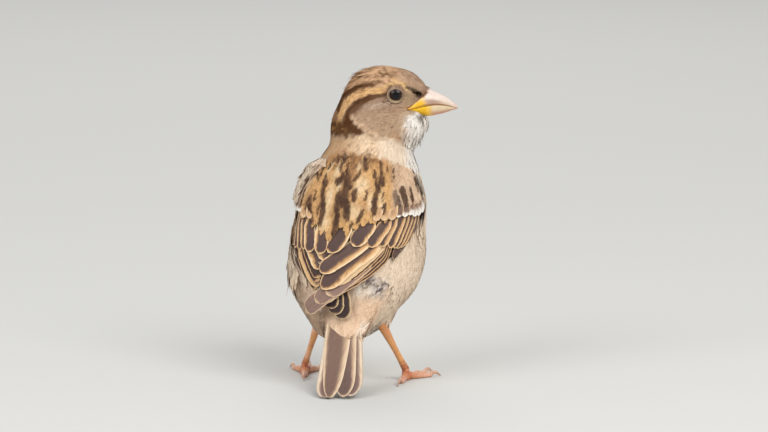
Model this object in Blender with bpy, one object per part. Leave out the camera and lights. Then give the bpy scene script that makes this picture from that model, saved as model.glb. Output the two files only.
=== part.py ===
"""House sparrow, female, standing with its head turned over its right shoulder.

A still, life-size model.  Frame: +Z up, the bird's body faces -Y, its left
is +X, the floor is z = 0.  All the sizes below are in millimetres and are
turned into metres when a mesh is made.
"""
import math

import bpy
import bmesh
import numpy as np
from mathutils import Vector

# ---------------------------------------------------------------- sizes (mm)
MM = 0.001
GAP = 0.30                 # clearance between neighbouring pieces
ORIGIN = (-1.42, 9.0)      # middle of the model's box, moved to x = y = 0

HEAD_YAW = 72.0            # head turned to the bird's right, degrees
HEAD_AXIS = (-5.24, -13.0) # upright axis that the head's sections refer to
EYE_RADIUS = 3.2
EYE_FORWARD = 5.0
EYE_HEIGHT = 94.9
EYE_OUT = 6.2              # eyeball centre from the head's middle plane

# horizontal sections of the trunk: height, half width, breast (forward), back
TRUNK = (
    (84.0, 7.5, 20.0, -4.5),
    (80.0, 11.8, 23.0, -0.5),
    (76.0, 14.3, 25.2, 3.0),
    (72.0, 16.0, 26.6, 6.4),
    (68.0, 17.8, 27.6, 10.0),
    (64.0, 19.2, 28.2, 13.2),
    (59.0, 20.5, 28.4, 16.4),
    (54.0, 20.9, 28.2, 18.6),
    (48.0, 21.3, 27.4, 20.2),
    (43.0, 21.9, 26.0, 21.0),
    (38.0, 21.9, 23.6, 21.6),
    (33.0, 20.9, 20.2, 22.0),
    (29.0, 19.4, 16.6, 22.2),
    (25.0, 16.7, 12.2, 22.0),
    (21.0, 13.4, 7.0, 21.4),
    (18.0, 10.6, 2.0, 20.4),
    (15.6, 7.0, -4.0, 18.6),
    (14.2, 3.4, -8.0, 16.0),
)
TRUNK_POWER = 2.15
TRUNK_SIDES = 36

# horizontal sections of head and neck: height, rear, front, half width
HEAD = (
    (103.4, -3.2, 5.4, 2.6),
    (102.2, -6.3, 9.4, 5.3),
    (100.4, -8.9, 12.2, 7.7),
    (98.2, -10.8, 14.5, 9.1),
    (95.6, -12.2, 15.9, 10.1),
    (92.6, -13.6, 15.6, 10.7),
    (89.6, -14.9, 14.6, 11.0),
    (86.8, -16.2, 14.6, 11.2),
    (84.4, -16.8, 15.6, 11.5),
    (81.8, -17.0, 14.8, 11.8),
    (79.0, -17.2, 12.8, 12.3),
    (76.0, -17.6, 11.2, 13.0),
    (71.0, -16.5, 9.4, 12.6),
    (66.0, -11.0, 5.0, 8.0),
)
HEAD_TAPER = 0.20          # head sections are this much narrower in front
HEAD_SIDES = 32

# bill, along the head's own forward axis: place, culmen, gape, gonys, width
BILL = (
    (9.6, 96.2, 89.8, 87.6, 3.6),
    (12.4, 96.6, 90.2, 87.0, 4.25),
    (15.9, 96.1, 90.8, 86.8, 4.0),
    (18.2, 95.1, 91.0, 87.1, 3.5),
    (20.4, 94.05, 90.9, 87.6, 2.85),
    (22.4, 92.95, 90.5, 88.2, 2.1),
    (24.2, 91.5, 90.0, 88.85, 1.25),
    (25.4, 90.35, 89.6, 89.05, 0.62),
)
BILL_TIP = (25.9, 89.5)

# folded wing, as places on the trunk: angle from the back's middle line
# towards the wing's own side (degrees), height, for its two edges
WING_TOP_EDGE = ((74, 70.5), (56, 68.0), (38, 63.0), (20, 57.0), (6, 50.5),
                 (2.2, 44.0), (2.0, 39.0), (1.2, 34.0), (-5.0, 29.0), (-16.0, 24.4))
WING_LOW_EDGE = ((98, 66.5), (101, 61.5), (93, 55.2), (76, 49.8), (57, 44.8),
                 (41, 40.2), (27, 36.1), (13, 31.8), (-1.0, 27.8), (-15.0, 23.4))
WING_PROUD = (1.0, 1.5, 1.8, 2.0, 2.1, 2.2, 2.3, 2.6, 3.2, 4.4)
WING_THICK = (1.2, 2.0, 2.4, 2.6, 2.6, 2.3, 1.8, 1.1, 0.9, 0.8)
WING_LIFT = {"left": 0.0, "right": 1.5}    # the right wing's tip lies on top
WING_ACROSS = 9

# tail and its coverts: forward place (minus is behind), height, and sideways
TAIL_LINE = ((-11.0, 39.0), (-17.5, 30.0), (-23.2, 21.0), (-29.8, 12.4),
             (-37.2, 5.0), (-45.0, 0.62))
TAIL_SWING = (1.0, 2.6, 4.2, 5.8, 7.5, 9.3)     # towards the bird's right
TAIL_HALF_WIDTH = (4.0, 6.0, 6.9, 7.4, 7.9, 8.1)
TAIL_THICK = (3.6, 3.2, 2.6, 2.0, 1.5, 1.1)
TAIL_NOTCH = 2.2
COVERT_LINE = ((-8.0, 40.0), (-13.0, 32.0), (-18.0, 24.6), (-23.3, 18.4),
               (-27.4, 13.9))
COVERT_HALF_WIDTH = (15.0, 15.0, 11.6, 8.6, 6.4)
COVERT_HALF_DEPTH = (10.0, 8.0, 5.4, 4.1, 2.1)

# legs: the bird's right, forward, height of each joint
HIP = {"left": (-8.6, 1.0, 33.0), "right": (9.8, 1.0, 33.0)}
ANKLE = {"left": (-10.2, -8.0, 18.2), "right": (12.9, -8.0, 18.8)}
FOOT = {"left": (-17.6, 0.8, 3.4), "right": (18.2, 0.2, 3.4)}
TARSUS_RADIUS = (1.45, 1.15, 0.92, 0.92, 1.15)
THIGH_RADIUS = (7.6, 6.4, 4.4, 2.1)
# toe: name, angle from straight ahead, length, claw length
TOES = {
    "left": (("inner", 13.0, 9.6, 4.0), ("middle", -13.0, 13.2, 5.0),
             ("outer", -40.0, 10.0, 4.2), ("hind", 163.0, 8.2, 7.0)),
    "right": (("inner", -14.0, 9.6, 4.0), ("middle", 12.0, 13.2, 5.0),
              ("outer", 38.0, 10.0, 4.2), ("hind", 173.0, 8.2, 7.0)),
}
TOE_RADIUS = (1.25, 0.80)
CLAW_RADIUS = 0.62

# ------------------------------------------------------------------ clearing
for old in list(bpy.data.objects):
    bpy.data.objects.remove(old, do_unlink=True)

PARTS = bpy.data.collections.new("house_sparrow")
CUTTERS = bpy.data.collections.new("cutters")
bpy.context.scene.collection.children.link(PARTS)
bpy.context.scene.collection.children.link(CUTTERS)


# ------------------------------------------------------------------- helpers
def material(name, colour, roughness, metallic=0.0):
    mat = bpy.data.materials.new(name)
    mat.use_nodes = True
    shader = mat.node_tree.nodes["Principled BSDF"]
    shader.inputs["Base Color"].default_value = (*colour, 1.0)
    shader.inputs["Roughness"].default_value = roughness
    shader.inputs["Metallic"].default_value = metallic
    mat.diffuse_color = (*colour, 1.0)
    return mat


def curve(table, column, x):
    """Smooth value of a column at x; the table's first column rises or falls."""
    rows = sorted((row[0], row[column]) for row in table)
    xs = np.array([r[0] for r in rows])
    ys = np.array([r[1] for r in rows])
    i = int(np.clip(np.searchsorted(xs, x) - 1, 0, len(xs) - 2))
    slopes = np.gradient(ys, xs)
    h = xs[i + 1] - xs[i]
    t = min(max((x - xs[i]) / h, 0.0), 1.0)
    return float((2 * t**3 - 3 * t**2 + 1) * ys[i] + (t**3 - 2 * t**2 + t) * h * slopes[i]
                 + (3 * t**2 - 2 * t**3) * ys[i + 1] + (t**3 - t**2) * h * slopes[i + 1])


def spread(values, t):
    """Value at t (0 to 1) along an evenly spaced list."""
    table = tuple((k / (len(values) - 1), v) for k, v in enumerate(values))
    return curve(table, 1, t)


def place(right, forward, height):
    """Bird's right, forward and up, in mm, to the model's frame."""
    return Vector((-right - ORIGIN[0], -forward - ORIGIN[1], height))


def make(name, points, faces, mat, collection=PARTS):
    mesh = bpy.data.meshes.new(name)
    mesh.from_pydata([tuple(c * MM for c in p) for p in points], [], faces)
    bm = bmesh.new()
    bm.from_mesh(mesh)
    bmesh.ops.remove_doubles(bm, verts=bm.verts, dist=1e-7)
    bmesh.ops.recalc_face_normals(bm, faces=bm.faces)
    bm.to_mesh(mesh)
    bm.free()
    obj = bpy.data.objects.new(name, mesh)
    collection.objects.link(obj)
    if mat is not None:
        mesh.materials.append(mat)
    mesh.shade_smooth()
    mesh.set_sharp_from_angle(angle=math.radians(42))
    if collection is CUTTERS:
        obj.hide_render = True
        obj.display_type = "WIRE"
    return obj


def loft(rings, tips=(None, None)):
    """Points and faces of a closed loft; each end closes on a point."""
    points = [p for ring in rings for p in ring]
    n = len(rings[0])
    faces = []
    for k in range(len(rings) - 1):
        for j in range(n):
            a, b = k * n + j, k * n + (j + 1) % n
            faces.append((a, b, b + n, a + n))
    for end, ring, tip in ((0, rings[0], tips[0]), (1, rings[-1], tips[1])):
        centre = tip if tip is not None else sum(ring, Vector()) / n
        points.append(Vector(centre))
        c = len(points) - 1
        base = 0 if end == 0 else (len(rings) - 1) * n
        for j in range(n):
            a, b = base + j, base + (j + 1) % n
            faces.append((b, a, c) if end == 0 else (a, b, c))
    return points, faces


def tube(path, radii, sides, squash=None, up=Vector((0, 0, 1)), round_ends=True):
    """Rings along a path; squash gives the other half axis, along up."""
    path = [Vector(p) for p in path]
    rings = []
    for k, p in enumerate(path):
        a = path[max(k - 1, 0)]
        b = path[min(k + 1, len(path) - 1)]
        along = (b - a).normalized()
        side = along.cross(up).normalized()
        top = side.cross(along).normalized()
        r = radii[k]
        q = r if squash is None else squash[k]
        rings.append([p + side * (r * math.cos(w)) + top * (q * math.sin(w))
                      for w in (2 * math.pi * j / sides for j in range(sides))])
    if round_ends:
        first = path[0] + (path[0] - path[1]).normalized() * radii[0] * 0.45
        last = path[-1] + (path[-1] - path[-2]).normalized() * radii[-1] * 0.45
        return loft(rings, (first, last))
    return loft(rings)


def grown(obj, name, by):
    """A cutter: the object's mesh with its points moved out along normals."""
    mesh = obj.data.copy()
    mesh.name = name
    bm = bmesh.new()
    bm.from_mesh(mesh)
    bm.normal_update()
    moves = [(v, v.normal * by * MM) for v in bm.verts]
    for v, move in moves:
        v.co += move
    bm.to_mesh(mesh)
    bm.free()
    cutter = bpy.data.objects.new(name, mesh)
    CUTTERS.objects.link(cutter)
    cutter.hide_render = True
    cutter.display_type = "WIRE"
    return cutter


def boolean(obj, other, operation, name):
    mod = obj.modifiers.new(name, "BOOLEAN")
    mod.operation = operation
    mod.solver = "EXACT"
    mod.object = other
    return mod


def flatten_at_floor(points):
    return [Vector((p.x, p.y, max(p.z, 0.0))) for p in points]


# ----------------------------------------------------------------- materials
M_FEATHER = material("body_feathers", (0.34, 0.25, 0.17), 0.85)
M_HEAD = material("head_feathers", (0.28, 0.21, 0.14), 0.85)
M_BELLY = material("underpart_feathers", (0.45, 0.37, 0.29), 0.85)
M_WING = material("wing_feathers", (0.20, 0.13, 0.08), 0.70)
M_TAIL = material("tail_feathers", (0.17, 0.12, 0.09), 0.70)
M_EYE = material("eye", (0.012, 0.008, 0.006), 0.06)
M_BILL = material("bill_horn", (0.52, 0.38, 0.27), 0.35)
M_LEG = material("leg_scales", (0.50, 0.22, 0.10), 0.50)
M_CLAW = material("claw_horn", (0.42, 0.31, 0.22), 0.40)


# ----------------------------------------------------------------- the trunk
def trunk_point(height, angle_deg, proud=0.0):
    """Point of the trunk at a height; angle 0 is the back, +90 its left."""
    a = curve(TRUNK, 1, height) + proud
    front, back = curve(TRUNK, 2, height), curve(TRUNK, 3, height)
    b = (front + back) / 2 + proud
    mid = (front - back) / 2
    lean = 0.5 + 1.5 * min(max((height - 64) / 14, 0), 1)
    s, c = math.sin(math.radians(angle_deg)), math.cos(math.radians(angle_deg))
    power = 2 / TRUNK_POWER
    x = a * math.copysign(abs(s) ** power, s)
    y = b * math.copysign(abs(c) ** power, c)
    return place(lean - x, mid - y, height)


trunk_rings = [[trunk_point(row[0], 360.0 * j / TRUNK_SIDES) for j in range(TRUNK_SIDES)]
               for row in TRUNK]
trunk_form = make("trunk_form", *loft(trunk_rings), None, CUTTERS)

# ------------------------------------------------------------- head and neck
YAW = math.radians(HEAD_YAW)
FACING = Vector((-math.sin(YAW), -math.cos(YAW), 0))     # where the bill points
RIGHTWARD = Vector((-math.cos(YAW), math.sin(YAW), 0))   # the head's right


def head_place(forward, side, height):
    """Place in the head's own frame: forward, to its right, height."""
    base = Vector((HEAD_AXIS[0] - ORIGIN[0], HEAD_AXIS[1] - ORIGIN[1], 0))
    return base + FACING * forward + RIGHTWARD * side + Vector((0, 0, height))


def head_ring(row):
    height, rear, front, half = row
    mid, reach = (rear + front) / 2, (front - rear) / 2
    ring = []
    for j in range(HEAD_SIDES):
        w = 2 * math.pi * j / HEAD_SIDES
        taper = 1 - HEAD_TAPER * math.cos(w)
        ring.append(head_place(mid + reach * math.cos(w), half * taper * math.sin(w), height))
    return ring


head_form = make("head_form", *loft([head_ring(row) for row in HEAD],
                                    (head_place(0.6, 0, 103.95), None)), None, CUTTERS)


# -------------------------------------------------------------- tail coverts
def tail_swing_at(height):
    table = tuple((TAIL_LINE[k][1], TAIL_SWING[k]) for k in range(len(TAIL_LINE)))
    return curve(table, 1, height)


covert_path = [place(tail_swing_at(h), f, h) for f, h in COVERT_LINE]
covert_form = make("covert_form",
                   *tube(covert_path, COVERT_HALF_WIDTH, 24, COVERT_HALF_DEPTH,
                         up=Vector((0, 1, 0.6)).normalized()), None, CUTTERS)

# ---------------------------------------------- one flesh form, then its cuts
flesh = bpy.data.objects.new("flesh_form", trunk_form.data.copy())
CUTTERS.objects.link(flesh)
boolean(flesh, head_form, "UNION", "join_head")
boolean(flesh, covert_form, "UNION", "join_coverts")
depsgraph = bpy.context.evaluated_depsgraph_get()
flesh_mesh = bpy.data.meshes.new_from_object(flesh.evaluated_get(depsgraph))
bpy.data.objects.remove(flesh, do_unlink=True)
bm = bmesh.new()
bm.from_mesh(flesh_mesh)
bmesh.ops.remove_doubles(bm, verts=bm.verts, dist=2e-5)
bmesh.ops.dissolve_degenerate(bm, edges=bm.edges, dist=2e-5)
bmesh.ops.recalc_face_normals(bm, faces=bm.faces)
bm.to_mesh(flesh_mesh)
bm.free()


def slab(name, centre, normal, low, high, reach=80.0):
    """A big box cutter that keeps what lies between low and high mm along
    normal from centre."""
    mesh = bpy.data.meshes.new(name)
    bm = bmesh.new()
    bmesh.ops.create_cube(bm, size=1.0)
    bm.to_mesh(mesh)
    bm.free()
    obj = bpy.data.objects.new(name, mesh)
    CUTTERS.objects.link(obj)
    turn = Vector(normal).to_track_quat("Z", "Y").to_matrix().to_4x4()
    middle = Vector(centre) + Vector(normal).normalized() * (low + high) / 2
    for v in mesh.vertices:
        v.co = turn @ Vector((v.co.x * 2 * reach, v.co.y * 2 * reach, v.co.z * (high - low)))
        v.co = (v.co + middle) * MM
    obj.hide_render = True
    obj.display_type = "WIRE"
    return obj


HEAD_CUT = (head_place(0, 0, 82.6), Vector((0.10 * FACING.x, 0.10 * FACING.y, 1)).normalized())
NECK_CUT = (place(1.5, 12.0, 73.6), Vector((0, 0.22, 1)).normalized())
COVERT_CUT = (place(3.6, -23.2, 20.4), Vector((0, 0.52, -0.85)).normalized())


def flesh_part(name, mat, bounds):
    obj = bpy.data.objects.new(name, flesh_mesh.copy())
    PARTS.objects.link(obj)
    obj.data.name = name
    obj.data.materials.clear()
    obj.data.materials.append(mat)
    for k, (centre, normal, low, high) in enumerate(bounds):
        boolean(obj, slab(f"{name}_bound_{k}", centre, normal, low, high),
                "INTERSECT", f"bound_{k}")
    return obj


head = flesh_part("head", M_HEAD, [(*HEAD_CUT, GAP / 2, 60)])
neck = flesh_part("neck", M_HEAD, [(*HEAD_CUT, -40, -GAP / 2), (*NECK_CUT, GAP / 2, 40)])
trunk = flesh_part("trunk", M_BELLY, [(*NECK_CUT, -90, -GAP / 2), (*COVERT_CUT, -90, -GAP / 2)])
coverts = flesh_part("tail_coverts", M_FEATHER, [(*COVERT_CUT, GAP / 2, 40)])

# ----------------------------------------------------------------------- eyes
for side, sign in (("left", -1), ("right", 1)):
    mesh = bpy.data.meshes.new(f"eye_{side}")
    bm = bmesh.new()
    bmesh.ops.create_uvsphere(bm, u_segments=16, v_segments=9, radius=EYE_RADIUS * MM)
    centre = head_place(EYE_FORWARD, sign * EYE_OUT, EYE_HEIGHT) * MM
    turn = RIGHTWARD.to_track_quat("Z", "Y")
    for v in bm.verts:
        v.co = turn @ v.co + centre
    bm.to_mesh(mesh)
    bm.free()
    mesh.materials.append(M_EYE)
    mesh.shade_smooth()
    eye = bpy.data.objects.new(f"eye_{side}", mesh)
    PARTS.objects.link(eye)
    boolean(head, grown(eye, f"eye_socket_{side}", GAP), "DIFFERENCE", f"socket_{side}")


# ----------------------------------------------------------------------- bill
def bill_ring(row, upper, sides=16):
    forward, top, gape, bottom, half = row
    ring = []
    for j in range(sides):
        w = 2 * math.pi * j / sides
        c, s = math.cos(w), math.sin(w)
        if upper:
            height = gape + GAP / 2 + (max(s, 0) ** 0.9) * (top - gape - GAP / 2)
            width = half * (c if s >= 0 else c * 0.98)
        else:
            height = gape - GAP / 2 - (max(-s, 0) ** 0.9) * (gape - GAP / 2 - bottom)
            width = half * 0.93 * c
        ring.append(head_place(forward, width, height))
    return ring


bill_upper = make("bill_upper", *loft([bill_ring(r, True) for r in BILL],
                                      (None, head_place(BILL_TIP[0], 0, BILL_TIP[1] + 0.2))), M_BILL)
bill_lower = make("bill_lower", *loft([bill_ring(r, False) for r in BILL],
                                      (None, head_place(BILL_TIP[0] - 0.5, 0, BILL_TIP[1] - 0.35))), M_BILL)
whole_bill = [[head_place(r[0], (r[4] + 0.38) * math.cos(w),
                          (r[2] + (r[1] - r[2] + 0.4) * max(math.sin(w), 0) ** 0.9
                           - (r[2] - r[3] + 0.4) * max(-math.sin(w), 0) ** 0.9))
               for w in (2 * math.pi * j / 20 for j in range(20))] for r in BILL]
whole_bill[0] = [p - FACING * 0.4 for p in whole_bill[0]]
bill_socket = make("bill_socket", *loft(whole_bill), None, CUTTERS)
boolean(head, bill_socket, "DIFFERENCE", "bill_socket")


# ----------------------------------------------------------------------- wings
def wing_solid(side):
    sign = 1 if side == "left" else -1
    rows = len(WING_TOP_EDGE)
    lift = WING_LIFT[side]
    outer, inner = [], []
    for i in range(rows):
        t_edge, l_edge = WING_TOP_EDGE[i], WING_LOW_EDGE[i]
        near_tip = min(max((i - 4) / (rows - 5), 0), 1)
        on_top = min(max((i - 5) / 2, 0), 1)
        for j in range(WING_ACROSS):
            t = j / (WING_ACROSS - 1)
            angle = t_edge[0] + (l_edge[0] - t_edge[0]) * t
            height = t_edge[1] + (l_edge[1] - t_edge[1]) * t
            dome = 0.55 + 0.45 * math.sin(math.pi * t) ** 0.7
            dome += (1 - dome) * near_tip
            proud = WING_PROUD[i] * dome + lift * on_top
            thick = max(WING_THICK[i] * dome, 0.75)
            outer.append(trunk_point(height, sign * angle, proud))
            inner.append(trunk_point(height, sign * angle, proud - thick))
    n = WING_ACROSS
    points = outer + inner
    base = rows * n
    faces = []
    for i in range(rows - 1):
        for j in range(n - 1):
            a = i * n + j
            faces.append((a, a + 1, a + n + 1, a + n))
            faces.append((base + a, base + a + n, base + a + n + 1, base + a + 1))
    rim = ([j for j in range(n)] + [i * n + n - 1 for i in range(1, rows)]
           + [(rows - 1) * n + j for j in range(n - 2, -1, -1)]
           + [i * n for i in range(rows - 2, 0, -1)])
    for k, a in enumerate(rim):
        b = rim[(k + 1) % len(rim)]
        faces.append((b, a, base + a, base + b))
    return points, faces


for side in ("left", "right"):
    wing = make(f"wing_{side}", *wing_solid(side), M_WING)
    seat = grown(wing, f"wing_seat_{side}", GAP * 1.5)
    boolean(trunk, seat, "DIFFERENCE", f"wing_seat_{side}")


# ------------------------------------------------------------------------ tail
def tail_solid():
    steps = 14
    rings = []
    for k in range(steps):
        t = k / (steps - 1)
        f = spread([p[0] for p in TAIL_LINE], t)
        h = spread([p[1] for p in TAIL_LINE], t)
        r = spread(TAIL_SWING, t)
        half = spread(TAIL_HALF_WIDTH, t)
        thick = spread(TAIL_THICK, t)
        d = 0.01
        ahead = Vector((spread(TAIL_SWING, min(t + d, 1)) - spread(TAIL_SWING, max(t - d, 0)),
                        spread([p[0] for p in TAIL_LINE], min(t + d, 1))
                        - spread([p[0] for p in TAIL_LINE], max(t - d, 0)),
                        spread([p[1] for p in TAIL_LINE], min(t + d, 1))
                        - spread([p[1] for p in TAIL_LINE], max(t - d, 0)))).normalized()
        across = Vector((1, 0, 0)) - ahead * ahead.x
        across.normalize()
        face = across.cross(ahead).normalized()
        if face.y > 0:
            face = -face
        ring = []
        for j in range(16):
            w = 2 * math.pi * j / 16
            u = math.cos(w)
            u = math.copysign(abs(u) ** 0.75, u)
            bow = 0.9 * (1 - t) * (1 - u * u)
            notch = TAIL_NOTCH * (1 - abs(u)) * max(t - 0.72, 0) / 0.28
            q = (Vector((r, f, h)) + across * (half * u) + face * (bow + thick / 2 * math.sin(w))
                 - ahead * notch)
            ring.append(place(q.x, q.y, max(q.z, 0.0)))
        rings.append(ring)
    return loft(rings)


tail = make("tail", *tail_solid(), M_TAIL)
tail_seat = grown(tail, "tail_seat", GAP * 1.3)
boolean(coverts, tail_seat, "DIFFERENCE", "tail_seat")
boolean(trunk, tail_seat, "DIFFERENCE", "tail_seat")


# ------------------------------------------------------------------------ legs
def toe_solids(side):
    """The foot as one body, and its four claws, each from a toe's own line."""
    right, forward, height = FOOT[side]
    toes, claws = [], []
    for name, angle, length, claw in TOES[side]:
        w = math.radians(angle)
        way = Vector((math.sin(w), math.cos(w)))
        path, radii = [], []
        start = -0.6
        for k in range(6):
            t = k / 5
            along = start + (length - start) * t
            radius = TOE_RADIUS[0] + (TOE_RADIUS[1] - TOE_RADIUS[0]) * t
            radius *= 1 + 0.10 * math.cos(2 * math.pi * (t * 2.5 + 0.5))
            centre = radius * 0.86 + 0.9 * math.exp(-max(along, 0) / 1.6)
            path.append(place(right + way.x * along, forward + way.y * along, centre))
            radii.append(radius)
        points, faces = tube(path, radii, 8)
        toes.append(make(f"toe_{name}_{side}", flatten_at_floor(points), faces, M_LEG, CUTTERS))
        path, radii = [], []
        begin = length + 0.45 * TOE_RADIUS[1] + GAP
        for k in range(6):
            t = k / 5
            along = begin + claw * (t * (1 - 0.12 * t))
            arch = (0.62 * (1 - t) + 0.20 * t
                    + (0.9 + 0.10 * claw) * math.sin(math.pi * min(t * 0.9 + 0.12, 1)) * (1 - t) ** 0.6)
            radius = CLAW_RADIUS * (1 - t) ** 0.8 + 0.26
            centre = max(arch, radius * 0.7)
            path.append(place(right + way.x * along, forward + way.y * along, centre))
            radii.append(radius)
        points, faces = tube(path, radii, 8, [r * 1.12 for r in radii])
        claws.append(make(f"claw_{name}_{side}", flatten_at_floor(points), faces, M_CLAW))
    return toes, claws


for side in ("left", "right"):
    hip, ankle, ball = HIP[side], ANKLE[side], FOOT[side]
    # feathered thigh, set in a socket of the trunk
    path, radii = [], []
    for k in range(7):
        t = k / 6
        path.append(place(*(hip[i] + (ankle[i] - hip[i]) * t * 0.97 for i in range(3))))
        radii.append(spread(THIGH_RADIUS, t))
    thigh = make(f"thigh_{side}", *tube(path, radii, 16), M_BELLY)
    boolean(trunk, grown(thigh, f"thigh_socket_{side}", GAP * 1.2), "DIFFERENCE", f"thigh_{side}")
    # bare tarsus, from below the thigh's end to just over the foot
    a = place(*ankle)
    b = place(*ball)
    way = (b - a).normalized()
    top = path[-1] + (path[-1] - path[-2]).normalized() * (radii[-1] * 0.45)
    first = top + way * (TARSUS_RADIUS[0] * 0.45 + GAP * 2.4)
    path, radii = [], []
    for k in range(7):
        t = k / 6
        path.append(first.lerp(b, t))
        radii.append(spread(TARSUS_RADIUS, t))
    make(f"tarsus_{side}", *tube(path, radii, 12, [r * 1.18 for r in radii]), M_LEG)
    toes, claws = toe_solids(side)
    foot = bpy.data.objects.new(f"foot_{side}", toes[0].data.copy())
    PARTS.objects.link(foot)
    for other in toes[1:]:
        boolean(foot, other, "UNION", "join_" + other.name)
    boolean(foot, grown(bpy.data.objects[f"tarsus_{side}"], f"tarsus_seat_{side}", GAP * 1.2),
            "DIFFERENCE", "tarsus_seat")
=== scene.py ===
"""House sparrow, female: the looks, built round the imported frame."""
import math

import bpy
import bmesh
import numpy as np
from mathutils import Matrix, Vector
from mathutils.bvhtree import BVHTree


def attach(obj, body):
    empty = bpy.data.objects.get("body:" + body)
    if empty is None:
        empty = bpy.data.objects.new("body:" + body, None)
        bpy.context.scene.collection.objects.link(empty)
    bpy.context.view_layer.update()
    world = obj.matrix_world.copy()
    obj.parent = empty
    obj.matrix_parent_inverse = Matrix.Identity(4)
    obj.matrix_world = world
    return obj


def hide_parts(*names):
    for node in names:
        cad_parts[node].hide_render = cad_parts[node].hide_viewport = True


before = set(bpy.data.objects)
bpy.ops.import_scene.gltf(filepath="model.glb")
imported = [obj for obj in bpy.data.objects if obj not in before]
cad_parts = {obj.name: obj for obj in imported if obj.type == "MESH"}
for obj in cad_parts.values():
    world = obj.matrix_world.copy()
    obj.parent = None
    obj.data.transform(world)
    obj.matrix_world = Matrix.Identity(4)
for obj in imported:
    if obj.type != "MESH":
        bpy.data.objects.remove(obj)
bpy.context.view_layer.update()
rng = np.random.default_rng(20)
MM = 0.001
ORIGIN = np.array((-1.42, 9.0, 0.0))

# ------------------------------------------------- the bird's form, in mm
# Working frame: +X the bird's left, +Y behind it, +Z up; the model's own
# frame is this one moved by ORIGIN.
TRUNK = np.array((
    (84.0, 7.5, 20.0, -4.5), (80.0, 11.8, 23.0, -0.5), (76.0, 14.3, 25.2, 3.0),
    (72.0, 16.0, 26.6, 6.4), (68.0, 17.8, 27.6, 10.0), (64.0, 19.2, 28.2, 13.2),
    (59.0, 20.5, 28.4, 16.4), (54.0, 20.9, 28.2, 18.6), (48.0, 21.3, 27.4, 20.2),
    (43.0, 21.9, 26.0, 21.0), (38.0, 21.9, 23.6, 21.6), (33.0, 20.9, 20.2, 22.0),
    (29.0, 19.4, 16.6, 22.2), (25.0, 16.7, 12.2, 22.0), (21.0, 13.4, 7.0, 21.4),
    (18.0, 10.6, 2.0, 20.4), (15.6, 7.0, -4.0, 18.6), (14.2, 3.4, -8.0, 16.0)))
TRUNK_POWER = 2.15
HEAD = np.array((
    (103.4, -3.2, 5.4, 2.6), (102.2, -6.3, 9.4, 5.3), (100.4, -8.9, 12.2, 7.7),
    (98.2, -10.8, 14.5, 9.1), (95.6, -12.2, 15.9, 10.1), (92.6, -13.6, 15.6, 10.7),
    (89.6, -14.9, 14.6, 11.0), (86.8, -16.2, 14.6, 11.2), (84.4, -16.8, 15.6, 11.5),
    (81.8, -17.0, 14.8, 11.8), (79.0, -17.2, 12.8, 12.3), (76.0, -17.6, 11.2, 13.0),
    (71.0, -16.5, 9.4, 12.6), (66.0, -11.0, 5.0, 8.0)))
HEAD_TAPER = 0.20
HEAD_AXIS = np.array((-5.24, -13.0, 0.0))
YAW = math.radians(72.0)
FACING = np.array((-math.sin(YAW), -math.cos(YAW), 0.0))
RIGHTWARD = np.array((-math.cos(YAW), math.sin(YAW), 0.0))
UP = np.array((0.0, 0.0, 1.0))
EYE = (5.0, 6.2, 94.9)
EYE_RADIUS = 3.2
WING_TOP = np.array(((74, 70.5), (56, 68.0), (38, 63.0), (20, 57.0), (6, 50.5),
                     (2.2, 44.0), (2.0, 39.0), (1.2, 34.0), (-5.0, 29.0), (-16.0, 24.4)))
WING_LOW = np.array(((98, 66.5), (101, 61.5), (93, 55.2), (76, 49.8), (57, 44.8),
                     (41, 40.2), (27, 36.1), (13, 31.8), (-1.0, 27.8), (-15.0, 23.4)))
TAIL_LINE = np.array(((-11.0, 39.0), (-17.5, 30.0), (-23.2, 21.0), (-29.8, 12.4),
                      (-37.2, 5.0), (-45.0, 0.62)))
TAIL_SWING = np.array((1.0, 2.6, 4.2, 5.8, 7.5, 9.3))
COVERT_LINE = np.array(((-8.0, 40.0), (-13.0, 32.0), (-17.6, 24.9), (-22.3, 19.0), (-25.9, 14.9)))
COVERT_HALF_WIDTH = (15.0, 15.0, 11.4, 7.8, 5.4)
COVERT_HALF_DEPTH = (10.0, 8.0, 5.0, 2.9, 1.1)
HIP = {"left": (-8.6, 1.0, 33.0), "right": (9.8, 1.0, 33.0)}
ANKLE = {"left": (-10.2, -8.0, 18.2), "right": (12.9, -8.0, 18.8)}
FOOT = {"left": (-17.6, 0.8, 3.4), "right": (18.2, 0.2, 3.4)}
THIGH_RADIUS = (7.6, 6.4, 4.4, 2.1)
TOES = {
    "left": (("inner", 13.0, 9.6, 4.0), ("middle", -13.0, 13.2, 5.0),
             ("outer", -40.0, 10.0, 4.2), ("hind", 163.0, 8.2, 7.0)),
    "right": (("inner", -14.0, 9.6, 4.0), ("middle", 12.0, 13.2, 5.0),
              ("outer", 38.0, 10.0, 4.2), ("hind", 173.0, 8.2, 7.0)),
}
BILL = np.array((
    (9.6, 96.2, 89.8, 87.6, 3.6), (12.4, 96.6, 90.2, 87.0, 4.25), (15.9, 96.1, 90.8, 86.8, 4.0),
    (18.2, 95.1, 91.0, 87.1, 3.5), (20.4, 94.05, 90.9, 87.6, 2.85), (22.4, 92.95, 90.5, 88.2, 2.1),
    (24.2, 91.5, 90.0, 88.85, 1.25), (25.4, 90.35, 89.6, 89.05, 0.62)))


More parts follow.
